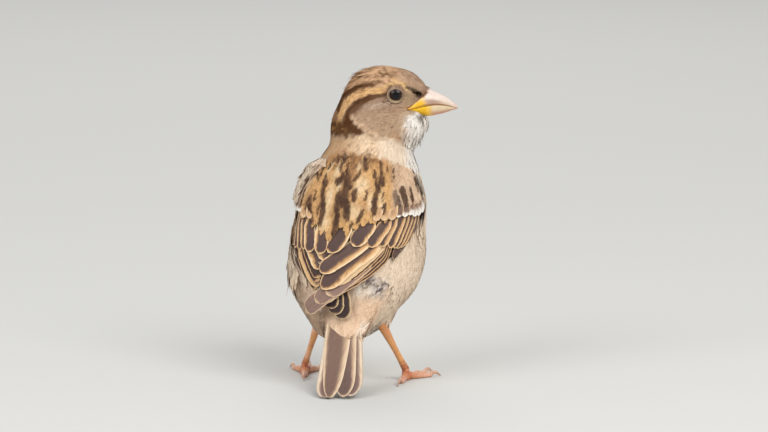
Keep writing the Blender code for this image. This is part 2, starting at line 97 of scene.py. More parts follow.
# ------------------------------------------------------------------ helpers
def curve(xs, ys, x):
    xs, ys, x = np.asarray(xs, float), np.asarray(ys, float), np.asarray(x, float)
    order = np.argsort(xs)
    xs, ys = xs[order], ys[order]
    i = np.clip(np.searchsorted(xs, x) - 1, 0, len(xs) - 2)
    slope = np.gradient(ys, xs)
    h = xs[i + 1] - xs[i]
    t = np.clip((x - xs[i]) / h, 0, 1)
    return ((2 * t**3 - 3 * t**2 + 1) * ys[i] + (t**3 - 2 * t**2 + t) * h * slope[i]
            + (3 * t**2 - 2 * t**3) * ys[i + 1] + (t**3 - t**2) * h * slope[i + 1])


def spread(values, t):
    return curve(np.linspace(0, 1, len(values)), values, t)


def ramp(x, a, b):
    t = np.clip((np.asarray(x, float) - a) / (b - a), 0, 1)
    return t * t * (3 - 2 * t)


def unit(v):
    return v / np.maximum(np.linalg.norm(v, axis=-1, keepdims=True), 1e-9)


def place(right, forward, height):
    right, forward, height = np.broadcast_arrays(right, forward, height)
    return np.stack((-right, -forward, height), -1).astype(float)


def head_place(forward, side, height):
    forward, side, height = (np.asarray(a, float)[..., None] for a in np.broadcast_arrays(forward, side, height))
    return HEAD_AXIS + FACING * forward + RIGHTWARD * side + UP * height


def head_frame(p):
    q = p - HEAD_AXIS
    return q @ FACING, q @ RIGHTWARD, p[..., 2]


def trunk_point(height, angle, proud=0.0):
    """Angle 0 is the back's middle line, + towards the bird's left."""
    height, angle, proud = np.broadcast_arrays(np.asarray(height, float), angle, proud)
    a = curve(TRUNK[:, 0], TRUNK[:, 1], height) + proud
    front = curve(TRUNK[:, 0], TRUNK[:, 2], height)
    back = curve(TRUNK[:, 0], TRUNK[:, 3], height)
    b = (front + back) / 2 + proud
    lean = 0.5 + 1.5 * np.clip((height - 64) / 14, 0, 1)
    w = np.radians(angle)
    s, c = np.sin(w), np.cos(w)
    power = 2 / TRUNK_POWER
    x = a * np.sign(s) * np.abs(s) ** power
    y = b * np.sign(c) * np.abs(c) ** power
    return place(lean - x, (front - back) / 2 - y, height)


def trunk_angle(p):
    """Angle of a place round the trunk (+ towards the bird's RIGHT), degrees."""
    h = p[..., 2]
    a = curve(TRUNK[:, 0], TRUNK[:, 1], h)
    front = curve(TRUNK[:, 0], TRUNK[:, 2], h)
    back = curve(TRUNK[:, 0], TRUNK[:, 3], h)
    lean = 0.5 + 1.5 * np.clip((h - 64) / 14, 0, 1)
    x = (-p[..., 0] - lean) / a
    y = (p[..., 1] + (front - back) / 2) / ((front + back) / 2)
    return np.degrees(np.arctan2(x, y))


def wing_edges(height):
    return (curve(WING_TOP[:, 1], WING_TOP[:, 0], height),
            curve(WING_LOW[:, 1], WING_LOW[:, 0], height))


def lattice(i, j, k, seed):
    h = (i * 374761393 + j * 668265263 + k * 1440662683 + seed * 974634777) & 0xFFFFFFFF
    h = ((h ^ (h >> 13)) * 1274126177) & 0xFFFFFFFF
    return ((h ^ (h >> 16)) & 0xFFFF) / 65535.0


def noise(p, size, seed=0):
    """Smooth value noise, 0 to 1, of places in mm."""
    q = np.asarray(p, float) / size + 1000.0
    i = np.floor(q).astype(np.int64)
    f = q - i
    f = f * f * (3 - 2 * f)
    out = 0.0
    for dx in (0, 1):
        for dy in (0, 1):
            for dz in (0, 1):
                w = ((f[..., 0] if dx else 1 - f[..., 0]) * (f[..., 1] if dy else 1 - f[..., 1])
                     * (f[..., 2] if dz else 1 - f[..., 2]))
                out = out + w * lattice(i[..., 0] + dx, i[..., 1] + dy, i[..., 2] + dz, seed)
    return out


def rgb(r, g, b):
    """Display colour, 0 to 255, to linear."""
    c = np.array((r, g, b)) / 255.0
    return np.where(c <= 0.04045, c / 12.92, ((c + 0.055) / 1.055) ** 2.4)


def mix(a, b, t):
    t = np.asarray(t, float)[..., None]
    return a * (1 - t) + b * t


def build(name, points, faces, colours=None, bake_uv=None, extra_uv=None, mat=None, smooth=True, normals=None):
    """A mesh object from mm points; faces is an int array (n,3) or (n,4), or a list of both."""
    mesh = bpy.data.meshes.new(name)
    points = (np.asarray(points, float).reshape(-1, 3) - ORIGIN) * MM
    groups = faces if isinstance(faces, list) else [faces]
    groups = [np.asarray(g, np.int64) for g in groups if len(g)]
    loops = np.concatenate([g.ravel() for g in groups])
    sizes = np.concatenate([np.full(len(g), g.shape[1]) for g in groups])
    starts = np.concatenate(([0], np.cumsum(sizes)[:-1]))
    mesh.vertices.add(len(points))
    mesh.vertices.foreach_set("co", points.ravel())
    mesh.loops.add(len(loops))
    mesh.loops.foreach_set("vertex_index", loops)
    mesh.polygons.add(len(sizes))
    mesh.polygons.foreach_set("loop_start", starts)
    mesh.update(calc_edges=True)
    if colours is not None:
        layer = mesh.color_attributes.new("Col", "FLOAT_COLOR", "POINT")
        rgba = np.ones((len(points), 4))
        rgba[:, :3] = np.clip(np.asarray(colours).reshape(-1, 3), 0, 1)
        layer.data.foreach_set("color", rgba.ravel())
    for label, uv in (("OFBake", bake_uv), ("vane", extra_uv)):
        if uv is not None:
            layer = mesh.uv_layers.new(name=label)
            layer.uv.foreach_set("vector", np.asarray(uv, float).reshape(-1, 2)[loops].ravel())
    mesh.polygons.foreach_set("use_smooth", np.full(len(sizes), smooth))
    if normals is not None:
        mesh.normals_split_custom_set_from_vertices(np.asarray(normals, float).reshape(-1, 3).tolist())
    obj = bpy.data.objects.new(name, mesh)
    bpy.context.scene.collection.objects.link(obj)
    if mat is not None:
        mesh.materials.append(mat)
    return obj


def loft_faces(rows, sides, first=0):
    k, j = np.meshgrid(np.arange(rows - 1), np.arange(sides), indexing="ij")
    a = first + k * sides + j
    b = first + k * sides + (j + 1) % sides
    return np.stack((a, b, b + sides, a + sides), -1).reshape(-1, 4)


def closed_loft(rings, tips=(None, None)):
    """rings (rows, sides, 3) to points and faces, closed with a point at each end."""
    rings = np.asarray(rings, float)
    rows, sides = rings.shape[:2]
    first = rings[0].mean(0) if tips[0] is None else np.asarray(tips[0])
    last = rings[-1].mean(0) if tips[1] is None else np.asarray(tips[1])
    points = np.concatenate((rings.reshape(-1, 3), [first, last]))
    j = np.arange(sides)
    c = rows * sides
    caps = np.concatenate((np.stack(((j + 1) % sides, j, np.full(sides, c)), -1),
                           np.stack((c - sides + j, c - sides + (j + 1) % sides, np.full(sides, c + 1)), -1)))
    return points, [loft_faces(rows, sides), caps]


def tube_rings(path, radii, sides, squash=None, up=UP):
    path = np.asarray(path, float)
    along = unit(np.gradient(path, axis=0))
    side = unit(np.cross(along, np.broadcast_to(up, along.shape)))
    top = unit(np.cross(side, along))
    radii = np.asarray(radii, float)
    high = radii if squash is None else np.asarray(squash, float)
    w = 2 * np.pi * np.arange(sides) / sides
    return (path[:, None] + side[:, None] * (radii[:, None] * np.cos(w))[..., None]
            + top[:, None] * (high[:, None] * np.sin(w))[..., None])


# ---------------------------------------------------------------- materials
def new_material(name, roughness=0.8, specular=0.3, sheen=0.0, coat=0.0, sub=0.0):
    mat = bpy.data.materials.new(name)
    mat.use_nodes = True
    shader = mat.node_tree.nodes["Principled BSDF"]
    shader.inputs["Roughness"].default_value = roughness
    shader.inputs["Specular IOR Level"].default_value = specular
    shader.inputs["Sheen Weight"].default_value = sheen
    shader.inputs["Sheen Roughness"].default_value = 0.5
    shader.inputs["Coat Weight"].default_value = coat
    shader.inputs["Coat Roughness"].default_value = 0.06
    return mat, mat.node_tree, shader


def painted(name, noise_size=0.35, noise_depth=0.25, **kw):
    """Vertex colour, broken up by a fine noise."""
    mat, tree, shader = new_material(name, **kw)
    col = tree.nodes.new("ShaderNodeAttribute")
    col.attribute_name = "Col"
    coords = tree.nodes.new("ShaderNodeTexCoord")
    grain = tree.nodes.new("ShaderNodeTexNoise")
    grain.inputs["Scale"].default_value = 1.0 / (noise_size * MM)
    grain.inputs["Detail"].default_value = 3.0
    tree.links.new(coords.outputs["Object"], grain.inputs["Vector"])
    level = tree.nodes.new("ShaderNodeMapRange")
    level.inputs["From Min"].default_value = 0.25
    level.inputs["From Max"].default_value = 0.75
    level.inputs["To Min"].default_value = 1.0 - noise_depth
    level.inputs["To Max"].default_value = 1.0 + noise_depth * 0.6
    tree.links.new(grain.outputs["Fac"], level.inputs["Value"])
    times = tree.nodes.new("ShaderNodeVectorMath")
    times.operation = "SCALE"
    tree.links.new(col.outputs["Color"], times.inputs[0])
    tree.links.new(level.outputs["Result"], times.inputs["Scale"])
    tree.links.new(times.outputs["Vector"], shader.inputs["Base Color"])
    return mat, tree, shader, grain


def add_bump(tree, shader, height_socket, strength, distance_mm):
    bump = tree.nodes.new("ShaderNodeBump")
    bump.inputs["Strength"].default_value = strength
    bump.inputs["Distance"].default_value = distance_mm * MM
    tree.links.new(height_socket, bump.inputs["Height"])
    tree.links.new(bump.outputs["Normal"], shader.inputs["Normal"])


MAT_COAT = painted("coat_feathers", 0.30, 0.22, roughness=0.9, specular=0.0, sheen=0.0)[0]
mat, tree, shader, grain = painted("skin_under_feathers", 0.5, 0.35, roughness=0.9, specular=0.1)
add_bump(tree, shader, grain.outputs["Fac"], 0.6, 0.15)
MAT_SKIN = mat

mat, tree, shader, grain = painted("vane_feathers", 0.35, 0.14, roughness=0.62, specular=0.3, sheen=0.08)
uv = tree.nodes.new("ShaderNodeUVMap"); uv.uv_map = "vane"
wave = tree.nodes.new("ShaderNodeTexWave")
wave.wave_type = "BANDS"; wave.bands_direction = "DIAGONAL"
wave.inputs["Scale"].default_value = 1.15
wave.inputs["Distortion"].default_value = 0.6
wave.inputs["Detail"].default_value = 1.0
tree.links.new(uv.outputs["UV"], wave.inputs["Vector"])
add_bump(tree, shader, wave.outputs["Fac"], 0.5, 0.06)
MAT_VANE = mat

# ------------------------------------------------------- markings of the coat
SUPERCILIUM = np.array(((5.0, 98.0), (3.0, 97.0), (0.4, 96.4), (-2.0, 96.3), (-4.4, 96.0), (-6.8, 95.4), (-8.8, 94.4),
                        (-10.1, 93.1), (-11.3, 91.5), (-12.2, 89.8), (-13.0, 87.8), (-13.6, 86.0)))
BROW_LINE = np.array(((0.4, 99.1), (-2.0, 98.6), (-4.4, 98.2), (-6.8, 97.6), (-8.8, 96.7), (-10.7, 95.5), (-12.4, 93.7),
                      (-13.4, 91.6), (-13.8, 89.9)))
EYE_STRIPE = np.array(((1.6, 95.4), (-2.0, 94.6), (-5.0, 93.6), (-7.0, 92.4), (-9.0, 90.3), (-10.2, 88.4), (-11.0, 87.0)))
EYE_ARC = np.array(((1.6, 97.7), (3.4, 98.3), (5.2, 98.6), (6.8, 98.4), (8.1, 97.4), (8.9, 96.3)))
LORE_SHADOW_LINE = np.array(((8.8, 97.1), (10.2, 96.3), (11.6, 95.4), (13.0, 94.3)))
EAR_EDGE = np.array(((-10.3, 88.4), (-8.8, 86.4), (-6.9, 85.2), (-4.7, 83.7), (-2.0, 82.4)))


def off_line(f, z, line):
    """Distance from a drawn line, and how far along it, 0 to 1."""
    best, along = np.full(f.shape, 99.0), np.zeros(f.shape)
    n = len(line) - 1
    for i in range(n):
        (f0, z0), (f1, z1) = line[i], line[i + 1]
        df, dz = f1 - f0, z1 - z0
        t = np.clip(((f - f0) * df + (z - z0) * dz) / (df * df + dz * dz), 0, 1)
        d = np.hypot(f - f0 - df * t, z - z0 - dz * t)
        near = d < best
        best, along = np.where(near, d, best), np.where(near, (i + t) / n, along)
    return best, along

CROWN = rgb(206, 166, 130)
CROWN_FRONT = rgb(176, 146, 122)
CROWN_DARK = rgb(104, 72, 48)
BROW = rgb(224, 180, 128)
STRIPE = rgb(84, 54, 32)
EAR = rgb(172, 142, 118)
EAR_LOW = rgb(181, 152, 125)
CHEEK = rgb(198, 170, 142)
THROAT = rgb(252, 246, 238)
NAPE = rgb(84, 53, 30)
HINDNECK = rgb(196, 160, 124)
SIDE_NECK = rgb(227, 207, 183)
LORE = rgb(104, 74, 52)
BUFF = rgb(214, 168, 114)
MANTLE_BROWN = rgb(140, 98, 68)
BLACKISH = rgb(52, 34, 26)
RUMP = rgb(224, 192, 162)
FLANK = rgb(234, 213, 188)
BREAST = rgb(215, 192, 169)
BELLY = rgb(242, 230, 214)
WING_DARK = rgb(86, 62, 52)
COVERT_BROWN = rgb(150, 112, 86)
FRINGE = rgb(226, 188, 142)
WHITE = rgb(238, 228, 214)
DOWN_GREY = rgb(130, 116, 110)


def head_colour(p, rough=0.0):
    """Head and neck markings at places p."""
    f, s, z = head_frame(p)
    wob = (noise(p, 1.3, 3) - 0.5) * 1.0 + (noise(p, 0.5, 4) - 0.5) * 0.9
    side = np.abs(s)
    f = f + wob * 0.35
    z = z + (noise(p, 0.7, 6) - 0.5) * 0.7
    # crown: streaked grey-brown, greyer in front
    c = mix(CROWN, CROWN_FRONT, ramp(f, 2, 11))
    streak = noise(p * (1.0, 1.0, 0.6), 0.7, 7)
    c = mix(c, rgb(158, 118, 84), ramp(-f, 1, 9) * 0.6)
    c = mix(c, CROWN_DARK, ramp(streak, 0.46, 0.74) * (0.38 + 0.38 * ramp(-f, -9, 2)))
    c = mix(c, rgb(206, 176, 146), ramp(noise(p * (1.0, 1.0, 0.6), 0.6, 8), 0.62, 0.85) * 0.4)
    below = np.interp(f, SUPERCILIUM[::-1, 0], SUPERCILIUM[::-1, 1])
    from_brow = z - below
    # face below the brow
    ear = mix(EAR, EAR_LOW, ramp(-z, -91, -87))
    ear = mix(ear, rgb(150, 122, 100), ramp(z, 91.0, 94.0) * ramp(-f, -4.5, -1) * 0.6)
    ear = mix(ear, rgb(204, 184, 166), np.exp(-(((f + 1.5) / 4.5) ** 2 + ((z - 91.8 - 0.12 * f) / 0.8) ** 2)) * 0.45)
    ear = mix(ear, CHEEK, ramp(f, 5.5, 9.0) * ramp(-z, -93, -88))
    ear = mix(ear, CROWN_DARK, ramp(noise(p, 0.6, 9), 0.50, 0.78) * 0.24)
    c = mix(c, ear, ramp(-from_brow, 0.5, 1.3))
    # in front of the eye grey-olive
    c = mix(c, rgb(166, 142, 110), np.exp(-(((f - 9.3) / 2.3) ** 2 + ((z - 94.2) / 2.6) ** 2)) * 0.8)
    # dark line over the brow
    d, t = off_line(f, z, BROW_LINE)
    c = mix(c, STRIPE, (1 - ramp(d, 0.35, 1.15)) * (0.6 + 0.4 * ramp(t, 0.05, 0.35)) * 0.95)
    # mottled dark streaks over the eye
    mottle = np.exp(-(((f - 2.5) / 5.5) ** 2 + ((z - 101.0 - 0.04 * f) / 0.9) ** 2))
    c = mix(c, STRIPE, mottle * ramp(noise(p, 0.8, 13), 0.42, 0.62) * 0.75)
    # stripe behind the eye, running down behind the ear coverts
    d, t = off_line(f, z, EYE_STRIPE)
    broad = 0.95 + 0.50 * ramp(t, 0.1, 0.5)
    c = mix(c, STRIPE, (1 - ramp(d / broad, 0.5, 1.45)) * (0.82 + 0.18 * ramp(t, 0.05, 0.4)) * 0.96)
    d, t = off_line(f, z - 0.0, EYE_STRIPE - (0.0, 1.5))
    c = mix(c, rgb(132, 102, 80), (1 - ramp(d, 0.5, 1.8)) * ramp(t, 0.2, 0.5) * 0.5 * ramp(-from_brow, 1.2, 2.2))
    # the brow itself
    d, t = off_line(f, z, SUPERCILIUM)
    width = 1.0 - 0.25 * ramp(t, 0.6, 1.0) - 0.15 * ramp(-t, -0.2, 0.0)
    brow = 1 - ramp(d / width, 0.75, 1.25)
    c = mix(c, mix(BROW, rgb(166, 120, 76), ramp(noise(p * (1.0, 1.0, 1.6), 0.55, 16), 0.42, 0.72) * 0.62), brow * ramp(-f, -3.2, -0.4) * (1 - 0.4 * ramp(t, 0.85, 1.0)))
    # pale arc over and before the eye, with golden patches
    d, t = off_line(f, z, EYE_ARC)
    c = mix(c, rgb(228, 190, 134), (1 - ramp(d, 0.22, 0.62)) * ramp(side, 4, 6) * 0.75)
    gold = np.exp(-(((f - 4.6) / 0.8) ** 2 + ((z - 99.5) / 0.38) ** 2)) + np.exp(-(((f - 7.8) / 0.8) ** 2 + ((z - 98.0) / 0.38) ** 2))
    c = mix(c, rgb(214, 170, 104), np.clip(gold, 0, 1) * 0.7)
    # nape, and the dark corner behind the ear
    rear = np.interp(z, (81.5, 83.0, 85.0, 88.0), (-4.2, -4.9, -7.1, -9.7))
    low = z + (noise(p, 1.0, 24) - 0.5) * 2.2
    top = 88.0 - 2.6 * ramp(-f, 10.8, 12.0)
    nape = ramp(rear - f, -0.5, 0.7) * ramp(low, 80.6, 82.8) * (1 - ramp(z - top, 0.0, 2.0))
    c = mix(c, mix(NAPE, rgb(160, 116, 72), ramp(noise(p, 0.8, 14), 0.58, 0.82) * ramp(-f, 10.0, 12.5)), nape * 0.95)
    d, t = off_line(f, z, EAR_EDGE + (0.9, 0.1))
    c = mix(c, rgb(220, 186, 154), (1 - ramp(d, 0.3, 1.0)) * (0.35 + 0.45 * ramp(noise(p, 0.6, 19), 0.4, 0.6)))
    c = mix(c, rgb(190, 152, 116), np.exp(-(((f - 4.6) / 3.0) ** 2 + ((z - 80.8) / 1.7) ** 2)) * 0.65)
    # cream neck below, whitish in front
    edge = np.interp(f, (-18, -14.2, -9.3, -5.9, -2.0, 2.2, 7.0, 9.4, 12), (80.0, 80.6, 81.4, 82.6, 81.6, 81.4, 79.0, 78.2, 77.5))
    edge = edge + (noise(p, 1.1, 23) - 0.5) * 2.6
    neck = mix(HINDNECK, rgb(228, 200, 168), ramp(f, -13.5, -5.0))
    neck = mix(neck, SIDE_NECK, ramp(f, -3.0, 2.5))
    neck = mix(neck, DOWN_GREY, ramp(noise(p * (1.0, 1.0, 0.5), 0.9, 15), 0.66, 0.9) * 0.25)
    round_it = np.abs(trunk_angle(p))
    speck = ramp(noise(p * (1.0, 1.0, 0.7), 0.75, 17), 0.52, 0.70) * ramp(-round_it, -40, -14)
    neck = mix(neck, mix(rgb(98, 68, 50), rgb(150, 108, 70), noise(p, 1.1, 18)), speck * (0.30 + 0.5 * ramp(-z, -79.5, -76)))
    neck = mix(neck, mix(BREAST, SIDE_NECK, ramp(z, 70, 80) * 0.5), ramp(round_it, 62, 92) * ramp(-z, -86, -81))
    c = mix(c, neck, ramp(edge - z, -0.9, 1.5))
    c = mix(c, neck, ramp(round_it, 100, 130) * ramp(-s, 1, 6) * ramp(-z, -82.5, -80.5))
    # throat: whitish with fine grey streaks
    pale = ramp(f + wob * 1.6, 6.4, 10.6) * ramp(-z, -88.6, -87.2) + ramp(f, 10.5, 12.5) * ramp(-z, -89.8, -88.6)
    throat = mix(THROAT, rgb(150, 140, 140), ramp(noise(p * (1.0, 1.0, 0.4), 0.6, 11), 0.58, 0.8) * 0.42)
    c = mix(c, throat, np.clip(pale, 0, 1) * 0.92)
    # lores: a painted shadow line cast by the crown's feathers over them; gape shade; rim of the eye
    d, t = off_line(f, z, LORE_SHADOW_LINE)
    c = mix(c, rgb(44, 30, 22), (1 - ramp(d / (0.42 + 0.45 * ramp(t, 0.3, 0.8)), 0.4, 1.7)) * (0.70 + 0.3 * ramp(t, 0.2, 0.7)) * (0.85 + 0.25 * ramp(noise(p, 0.5, 20), 0.3, 0.5)))
    c = mix(c, rgb(58, 38, 34), np.exp(-(((f - 13.2) / 0.9) ** 2 + ((z - 86.4) / 1.0) ** 2)) * 0.85)
    c = mix(c, rgb(196, 128, 70), np.exp(-(((f - 9.2) / 1.2) ** 2 + ((z - 90.4) / 0.55) ** 2)) * 0.6 * ramp(side, 4, 6))
    ring = np.hypot(f - EYE[0], z - EYE[2])
    c = mix(c, rgb(126, 102, 82), (1 - ramp(ring, 2.5, 3.3)) * 0.6 * ramp(side, 5, 8))
    return c


def trunk_colour(p):
    """Ground colour of trunk, rump and underparts at places p."""
    a = trunk_angle(p)
    h = p[..., 2]
    wob = (noise(p, 3.0, 21) - 0.5) * 2
    fine = (noise(p, 0.9, 22) - 0.5) * 2
    under = mix(FLANK, BREAST, ramp(h, 46, 62) * ramp(np.abs(a), 100, 140))
    under = mix(under, BELLY, ramp(np.abs(a), 125, 165) * ramp(-h, -46, -30))
    under = mix(under, BELLY, ramp(-h, -24, -17) * 0.7)
    under = mix(under, rgb(178, 152, 132), ramp(noise(p * (1, 1, 0.35), 1.8, 25), 0.5, 0.85) * 0.20)
    under = mix(under, rgb(158, 136, 122), ramp(noise(p * (1, 1, 0.4), 1.2, 26), 0.6, 0.85) * ramp(-a, 20, 50) * (1 - ramp(-a, 92, 140)) * ramp(-h, -50, -42) * 0.6)
    rump = mix(RUMP, BREAST, ramp(wob, 0.1, 0.9) * 0.35)
    rump = mix(rump, rgb(176, 142, 114), ramp(noise(p * (1, 1, 0.35), 0.9, 36), 0.50, 0.72) * 0.34)
    rump = mix(rump, rgb(246, 226, 200), ramp(noise(p * (1, 1, 0.35), 1.0, 37), 0.56, 0.76) * 0.35)
    under = mix(under, rgb(190, 160, 136), ramp(noise(p * (1, 1, 0.35), 0.8, 38), 0.54, 0.76) * 0.22)
    c = mix(under, rump, ramp(-np.abs(a - 2), -62, -42) * ramp(-h, -40, -30))
    # mantle ground
    top = mix(BUFF, MANTLE_BROWN, 0.30 + 0.25 * wob)
    top = mix(top, rgb(166, 124, 92), ramp(h, 68, 74))
    edge, _ = wing_edges(np.clip(h, 30, 70))
    inside = ramp(-(np.abs(a) - np.maximum(edge, 6)), -9, 0) * ramp(h, 40, 48)
    upper = np.maximum(inside, ramp(h, 60, 66) * ramp(-np.abs(a), -84, -66))
    c = mix(c, top, upper)
    # painted shade on the bird's lower left side: a mottled grey-brown tone low down, and the lower left flank darkened
    # to 0.88
    c = mix(c, mix(rgb(150, 122, 102), rgb(186, 158, 134), noise(p * (1, 1, 0.5), 1.4, 35)), ramp(-a, 2, 12) * (1 - ramp(-a, 92, 140)) * ramp(-h, -37, -30) * 0.6)
    c = mix(c, c * 0.88, ramp(-a, 20, 34) * (1 - ramp(-a, 92, 135)) * ramp(-h, -52, -44))
    # ruffled patches where the grey down shows
    spots = noise(p, 1.1, 28)
    for ang, hh, wa, wh, amount in ((37, 35.6, 5.0, 2.6, 0.9), (26, 36.2, 4.5, 1.8, 0.0), (47, 33.6, 5.0, 1.8, 0.4), (-33, 31.0, 7, 2.6, 0.5)):
        d = np.exp(-(((a - ang) / wa) ** 2 + ((h - hh) / wh) ** 2))
        c = mix(c, mix(rgb(84, 72, 78), WHITE, ramp(spots, 0.38, 0.56)), d * amount)
    c = mix(c, WHITE, np.exp(-(((a - 26) / 5.0) ** 2 + ((h - 36.0) / 2.2) ** 2)) * 0.8)
    for a0, z0, wa, wz, amount in ((36.0, 38.8, 6.0, 1.3, 0.9), (43.5, 35.6, 5.0, 2.0, 0.9), (48.0, 37.0, 4.0, 1.8, 0.7)):
        d = np.exp(-(((a - a0) / wa) ** 2 + ((h - z0) / wz) ** 2))
        c = mix(c, mix(rgb(70, 58, 66), rgb(226, 212, 204), ramp(noise(p, 0.75, 29), 0.48, 0.62)), np.clip(d * 1.4, 0, 1) * amount)
    for (a0, z0), (a1, z1), wide, tone, amount in (
            ((41.5, 18.5), (43.0, 24.2), 0.8, rgb(112, 86, 72), 0.75),
            ((35.0, 21.3), (38.0, 24.3), 1.0, rgb(246, 234, 220), 0.8),
            ((-21.0, 30.3), (-18.0, 33.8), 1.4, rgb(244, 234, 224), 0.8),
            ((-14.0, 24.2), (-13.0, 18.0), 1.0, rgb(104, 84, 74), 0.7),
            ((-20.0, 24.2), (-20.0, 21.2), 0.8, rgb(118, 96, 84), 0.6)):
        x, x0, x1 = a * 0.40, a0 * 0.40, a1 * 0.40
        t = np.clip(((x - x0) * (x1 - x0) + (h - z0) * (z1 - z0)) / ((x1 - x0) ** 2 + (z1 - z0) ** 2), 0, 1)
        d = np.hypot(x - x0 - (x1 - x0) * t, h - z0 - (z1 - z0) * t)
        c = mix(c, tone, (1 - ramp(d / wide, 0.5, 1.4)) * amount)
    # painted shade: near-black where the right wing's bend meets the breast
    c = mix(c, rgb(46, 30, 24), bend_gap_shade(a, h) * 0.97)
    return mix(c, c * 0.95, ramp(fine, 0.2, 0.8))


def bend_gap_shade(a, h):
    """Painted shade in the gap between the right wing's bend and the breast."""
    line = np.interp(h, (56, 60, 63.5, 68.5), (89.0, 88.5, 85.5, 79.5))
    return np.exp(-((np.abs(a - line) / 4.0) ** 2.6)) * ramp(h, 54.5, 57) * ramp(-h, -69.5, -67.5)


def neck_line(right_angle):
    """Height where the neck's feathers begin, by the angle round the trunk."""
    return np.interp(right_angle, (-100, -60, -30, 0, 20, 43, 62, 80, 110),
                     (70, 72.5, 75.8, 76.0, 75.4, 73.6, 71.4, 68.8, 67.0))


def ground_colour(p):
    line = neck_line(trunk_angle(p)) + (noise(p, 1.2, 27) - 0.5) * 2.6
    t = ramp(p[..., 2] - line, -1.4, 1.6)
    return mix(trunk_colour(p), head_colour(p), t)


# ----------------------------------------------------------------- one skin
def coat_depth(p):
    """How far the coat stands over the skin, mm."""
    f, s, z = head_frame(p)
    d = 1.7 - 0.6 * ramp(z, 72, 84) - 0.25 * ramp(z, 96, 102)
    face = ramp(f, 3.0, 12.0) * ramp(z, 80, 86)
    d = d * (1 - 0.45 * face)
    near_bill = np.sqrt((f - 14.5) ** 2 + (s / 1.1) ** 2 + (z - 91) ** 2)
    d = np.where(z > 80, d * (0.55 + 0.45 * ramp(near_bill, 4.5, 9.0)), d)
    eye = np.sqrt((f - EYE[0]) ** 2 + (np.abs(s) - 9.0) ** 2 + (z - EYE[2]) ** 2)
    d = np.where(z > 84, d * (0.8 + 0.2 * ramp(eye, 2.4, 5.0)), d)
    low = ramp(-z, -20, -14)
    return d * (1 - 0.35 * low)


def form_meshes():
    forms = []
    z = np.concatenate((np.linspace(84.0, 20, 44), np.linspace(18.8, 14.2, 7)))
    w = np.arange(56) * 360.0 / 56
    zz, ww = np.meshgrid(z, w, indexing="ij")
    top, low = wing_edges(np.clip(zz, 30, 70))
    own = np.abs((ww + 180) % 360 - 180)
    bump = (ramp(own, 0, 10) * 0 + ramp(own - top, -4, 8) * ramp(low - own, -2, 8)) * ramp(zz, 32, 42) * ramp(-zz, -71, -66)
    forms.append(closed_loft(trunk_point(zz, ww, 0.9 * bump)))
    z = np.concatenate((np.linspace(103.4, 100.4, 6), np.linspace(99.6, 66, 34)))
    w = np.arange(48) * 2 * np.pi / 48
    rear, front, half = (curve(HEAD[:, 0], HEAD[:, k], z)[:, None] for k in (1, 2, 3))
    mid, reach = (rear + front) / 2, (front - rear) / 2
    rings = head_place(mid + reach * np.cos(w), half * (1 - HEAD_TAPER * np.cos(w)) * np.sin(w),
                       np.broadcast_to(z[:, None], (len(z), 48)))
    forms.append(closed_loft(rings, (head_place(0.6, 0, 103.95), None)))
    t = np.linspace(0, 1, 16)
    f, h = spread(COVERT_LINE[:, 0], t), spread(COVERT_LINE[:, 1], t)
    swing = curve(TAIL_LINE[:, 1], TAIL_SWING, h)
    forms.append(closed_loft(tube_rings(place(swing, f, h), spread(COVERT_HALF_WIDTH, t), 32,
                                        spread(COVERT_HALF_DEPTH, t), up=unit(np.array((0, 1, 0.6))))))
    for side in ("left", "right"):
        t = np.linspace(0, 1, 12)
        hip, ankle = np.array(HIP[side]), np.array(ANKLE[side])
        q = hip + (ankle - hip) * t[:, None] * 1.0
        path = place(q[:, 0], q[:, 1], q[:, 2])
        forms.append(closed_loft(tube_rings(path, spread(THIGH_RADIUS, t) * np.linspace(1, 1.0, 12), 24)))
    return forms


points, quads, tris, start = [], [], [], 0
for form_points, (form_quads, form_tris) in form_meshes():
    points.append(form_points)
    quads.append(form_quads + start)
    tris.append(form_tris + start)
    start += len(form_points)
rough = build("skin_form", np.concatenate(points), [np.concatenate(quads), np.concatenate(tris)])
bm = bmesh.new(); bm.from_mesh(rough.data)
bmesh.ops.recalc_face_normals(bm, faces=bm.faces)
bm.to_mesh(rough.data); bm.free()
mod = rough.modifiers.new("one_skin", "REMESH")
mod.mode = "VOXEL"; mod.voxel_size = 0.00075; mod.use_smooth_shade = True
mod = rough.modifiers.new("soften", "SMOOTH")
mod.factor = 0.5; mod.iterations = 9
deps = bpy.context.evaluated_depsgraph_get()
skin_mesh = bpy.data.meshes.new_from_object(rough.evaluated_get(deps))
bpy.data.objects.remove(rough, do_unlink=True)
count = len(skin_mesh.vertices)
co = np.empty(count * 3); skin_mesh.vertices.foreach_get("co", co)
no = np.empty(count * 3); skin_mesh.vertices.foreach_get("normal", no)
co = co.reshape(-1, 3) / MM + ORIGIN
no = no.reshape(-1, 3)
co = co - no * coat_depth(co)[:, None]
# hollows in the skin for the eyes
f_, s_, z_ = head_frame(co)
ring = np.hypot(f_ - EYE[0], z_ - EYE[2])
ball = EYE[1] + np.sqrt(np.maximum(EYE_RADIUS**2 - ring**2, 0.0)) - 0.55
hold = ramp(-ring, -3.7, -2.7) * (np.abs(s_) > 3)
co = co - RIGHTWARD * (np.sign(s_) * np.maximum(np.abs(s_) - ball, 0) * hold)[:, None]


